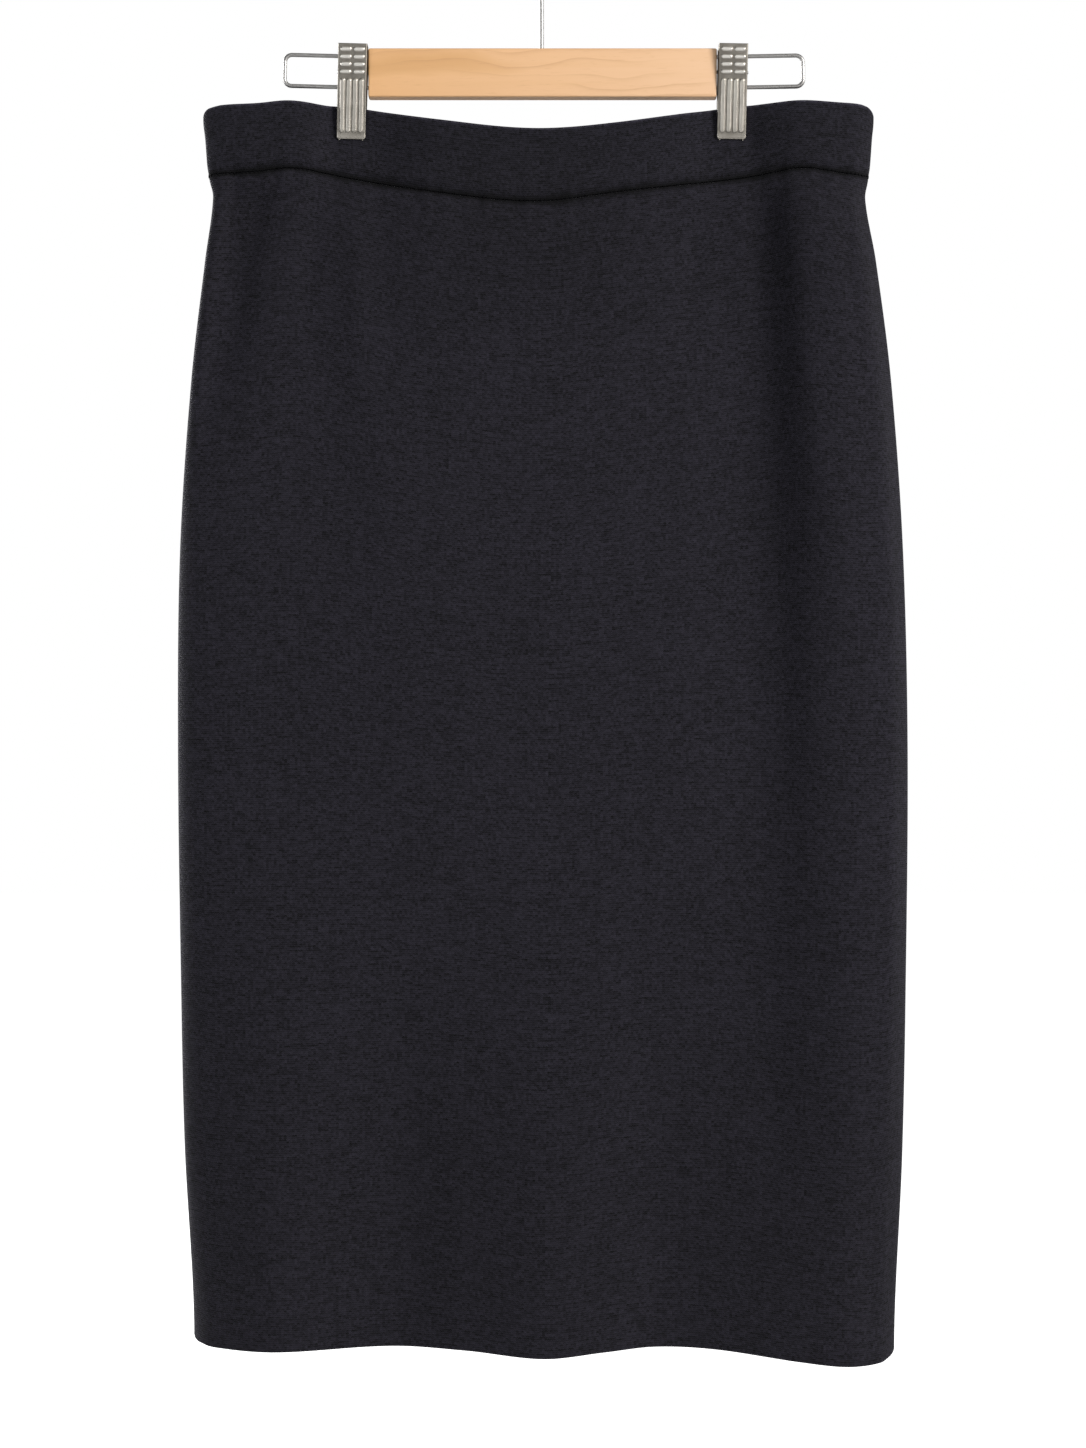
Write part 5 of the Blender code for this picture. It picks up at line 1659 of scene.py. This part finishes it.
def pressed_plate(name, way):
    """A plate in its clip's frame: way is -1 for the front one and 1 for the back one."""
    ups = face_rows()
    ups = np.concatenate([[0.0], ups, [plate_tall]])
    across, along = plate_columns(way < 0)
    mesh, column, row = grid_mesh(name, len(across) - 1, len(ups) - 1)
    up, share, wall = ups[::-1][row], across[column], along[column]
    lip = (row == 0) | (row == len(ups) - 1)

    top_round = 0.0 if way < 0 else TOP_ROUND
    half = np.full(len(up), PLATE_WIDE / 2)
    for corner, reach in ((FOOT_ROUND, up), (top_round, plate_tall - up)):
        near = np.clip(corner - reach, 0, corner)
        half -= corner - np.sqrt(np.maximum(corner**2 - near**2, 0))
    x = half * share
    rim = np.minimum(np.minimum(half - abs(x), up), plate_tall - up)
    inside = np.clip(RIM_ROUND - rim, 0, RIM_ROUND)
    deep = RIM_ROUND - np.sqrt(RIM_ROUND**2 - inside**2)
    deep = np.where(lip, PLATE_DEEP, deep)
    reach = wall_depth(up) if way < 0 else np.full(len(up), PLATE_DEEP)
    deep = np.where(wall > 0, RIM_ROUND + (reach - RIM_ROUND) * wall, deep)
    press = relief_at(x, up)
    stand = PLATE_DEEP + press * RIB_RISE

    y = JAW_Y + up * math.sin(PLATE_LEAN) + stand * math.cos(PLATE_LEAN) - deep
    z = PLATE_FOOT + up * math.cos(PLATE_LEAN) - stand * math.sin(PLATE_LEAN)
    points = np.stack([x, way * y, z], -1)
    mesh.vertices.foreach_set("co", points.astype(np.float32).ravel())
    set_uv(mesh, "press", press, up / plate_tall)
    if way > 0:
        mesh.flip_normals()
    plate = new_piece(name, mesh)
    layer = plate.modifiers.new("sheet_metal", "SOLIDIFY")
    layer.thickness = METAL
    layer.offset = -1.0
    return settle(plate)


front_plate = pressed_plate("clip_plate_front", -1)
back_plate = pressed_plate("clip_plate_back", 1)
print("plates:", len(front_plate.data.polygons), len(back_plate.data.polygons), "faces")

# %% [markdown]
# The front plate's side walls are punched for the pin and for the two wires, which pass with
# room to slide. The back plate has two ears instead, flat tabs with a round end about the
# pin, just inside the front plate's walls.

# %% Holes and ears
PIN_ROOM, SLIDE_ROOM = 0.0002, 0.0005
EAR_ROUND, EAR_HIGH, EAR_INSET = 0.0032, 0.0060, 0.0018
EAR_STEPS, EAR_SOFT = 14, 0.00015
EAR_UP = 0.7  # the ears' place on the plate's press map, where nothing is rubbed or worn


def across_clip(z):
    """The frame of a hole that runs across a clip, at a height from its pin."""
    return Matrix.Translation((0, 0, z))


def ear(end):
    """A tab of the back plate, bored for the pin: an outline given the metal's thickness."""
    turns = np.linspace(math.pi / 2, 3 * math.pi / 2, EAR_STEPS + 1)
    outline = [(EAR_ROUND * math.cos(turn), EAR_ROUND * math.sin(turn)) for turn in turns]
    for z in (-EAR_HIGH, EAR_HIGH):
        outline.append((JAW_Y + (z - PLATE_FOOT) * math.tan(PLATE_LEAN) + METAL / 2, z))
    cage = bmesh.new()
    x = end * (PLATE_WIDE / 2 - EAR_INSET)
    cage.faces.new([cage.verts.new((x, y, z)) for y, z in outline])
    mesh = bpy.data.meshes.new("ear")
    cage.to_mesh(mesh)
    cage.free()
    tab = new_piece("ear", mesh)
    layer = tab.modifiers.new("sheet_metal", "SOLIDIFY")
    layer.thickness = METAL
    layer.offset = 0.0
    edges = tab.modifiers.new("tumbled_edges", "BEVEL")
    edges.width = EAR_SOFT
    edges.segments = 2
    settle(tab)
    count = len(tab.data.vertices)
    set_uv(tab.data, "press", np.zeros(count), np.full(count, EAR_UP))
    cut(tab, [drill(PIN_WIRE / 2 + PIN_ROOM, PLATE_WIDE, across_clip(0))])
    return tab


cut(front_plate, [
    drill(PIN_WIRE / 2 + PIN_ROOM, 2 * PLATE_WIDE, across_clip(0)),
    drill(LOOP_WIRE / 2 + SLIDE_ROOM, 2 * PLATE_WIDE, across_clip(LOOP_HIGH_Z - PIN_Z)),
    drill(LOOP_WIRE / 2 + SLIDE_ROOM, 2 * PLATE_WIDE, across_clip(LOOP_LOW_Z - PIN_Z)),
])
back_plate = joined("clip_plate_back", [back_plate, ear(-1), ear(1)])

# %% Pin and torsion spring
SPRING_WIRE, SPRING_MIDDLE, SPRING_TURNS = 0.0011, 0.0026, 6
SPRING_LONG, SPRING_LEG = 0.0080, 0.0085
TURN_STEPS = 20
LEG_SPREAD, LEG_BEND = 2.6, 0.1  # how far the legs lean apart, and where each one bends


def spring_points():
    """A coil round the pin, with a leg up to each plate."""
    turns = SPRING_TURNS + 0.5
    steps = int(turns * TURN_STEPS)
    coil = []
    for i in range(steps + 1):
        turn = 2 * math.pi * i / TURN_STEPS
        x = (i / steps - 0.5) * (SPRING_LONG - SPRING_WIRE)
        y, z = -SPRING_MIDDLE * math.cos(turn), SPRING_MIDDLE * math.sin(turn)
        coil.append(Vector((x, y, z)))
    lean = math.sin(PLATE_LEAN)
    first = coil[0] + Vector((0, -SPRING_LEG * lean * LEG_SPREAD, SPRING_LEG))
    last = coil[-1] + Vector((0, SPRING_LEG * lean * LEG_SPREAD, SPRING_LEG))
    return [
        first, first.lerp(coil[0], 1 - LEG_BEND), *coil, coil[-1].lerp(last, LEG_BEND), last,
    ]


def pin_points():
    """A straight pin, a little longer than the clip is wide."""
    half = PLATE_WIDE / 2 + PIN_PROUD - PIN_WIRE / 4
    return [(-half, 0, 0), (0, 0, 0), (half, 0, 0)]


# %% Set the clips in place
CLIP_SHARP = math.radians(50)

templates = {
    "front": (front_plate, "plate"),
    "back": (back_plate, "plate"),
    "pin": (wire("clip_pin", pin_points(), PIN_WIRE, METAL_MATERIALS["spring"]), "spring"),
    "spring": (wire(
        "clip_spring", spring_points(), SPRING_WIRE, METAL_MATERIALS["spring"], sides=10,
    ), "spring"),
}
clips = {}
for side in ("left", "right"):
    pin_low, pin_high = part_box(f"clip_{side}_pin")
    at = Matrix.Translation((pin_low + pin_high) / 2)
    at = at @ Matrix.Rotation(CLIP_TILT[side], 4, "Y")
    for part, (template, finish) in templates.items():
        mesh = template.data.copy()
        mesh.name = f"{side}_clip_{part}"
        mesh.transform(at)
        mesh.shade_smooth()
        mesh.set_sharp_from_angle(angle=CLIP_SHARP)
        piece = new_piece(mesh.name, mesh, METAL_MATERIALS[finish])
        clips[f"clip_{side}_{part}"] = piece
for template, _ in templates.values():
    bpy.data.objects.remove(template, do_unlink=True)
print("clip pieces:", len(clips))

# %% [markdown]
# ## Tie every piece to the frame
#
# The object has one body, so everything rides on it. Each new piece is tied to it, and the
# solid that it stands for is hidden.

# %% Bodies and solids
STANDS_FOR = {
    "band_front": ("waistband_front", "black_knit_band"),
    "band_back": ("waistband_back", "black_knit_band"),
    "panel_front": ("skirt_front", "black_knit"),
    "panel_back": ("skirt_back", "black_knit"),
}
for name, (node, slot) in STANDS_FOR.items():
    piece, wide, area = cloth[name]
    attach(piece, "root")
    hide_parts(node)
for piece, slot in ((waist_stitches, "black_knit_band"), (side_stitches, "black_knit")):
    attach(piece, "root")
HARD = [(bar, "hanger_bar", "pale_wood"), (hook, "hook", "bright_wire")]
HARD += [(loops[side], f"wire_loop_{side}", "bright_wire") for side in loops]
for node, piece in clips.items():
    plate = node.endswith(("front", "back"))
    HARD.append((piece, node, "nickel_plate" if plate else "spring_steel"))
for piece, node, slot in HARD:
    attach(piece, "root")
    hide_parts(node)
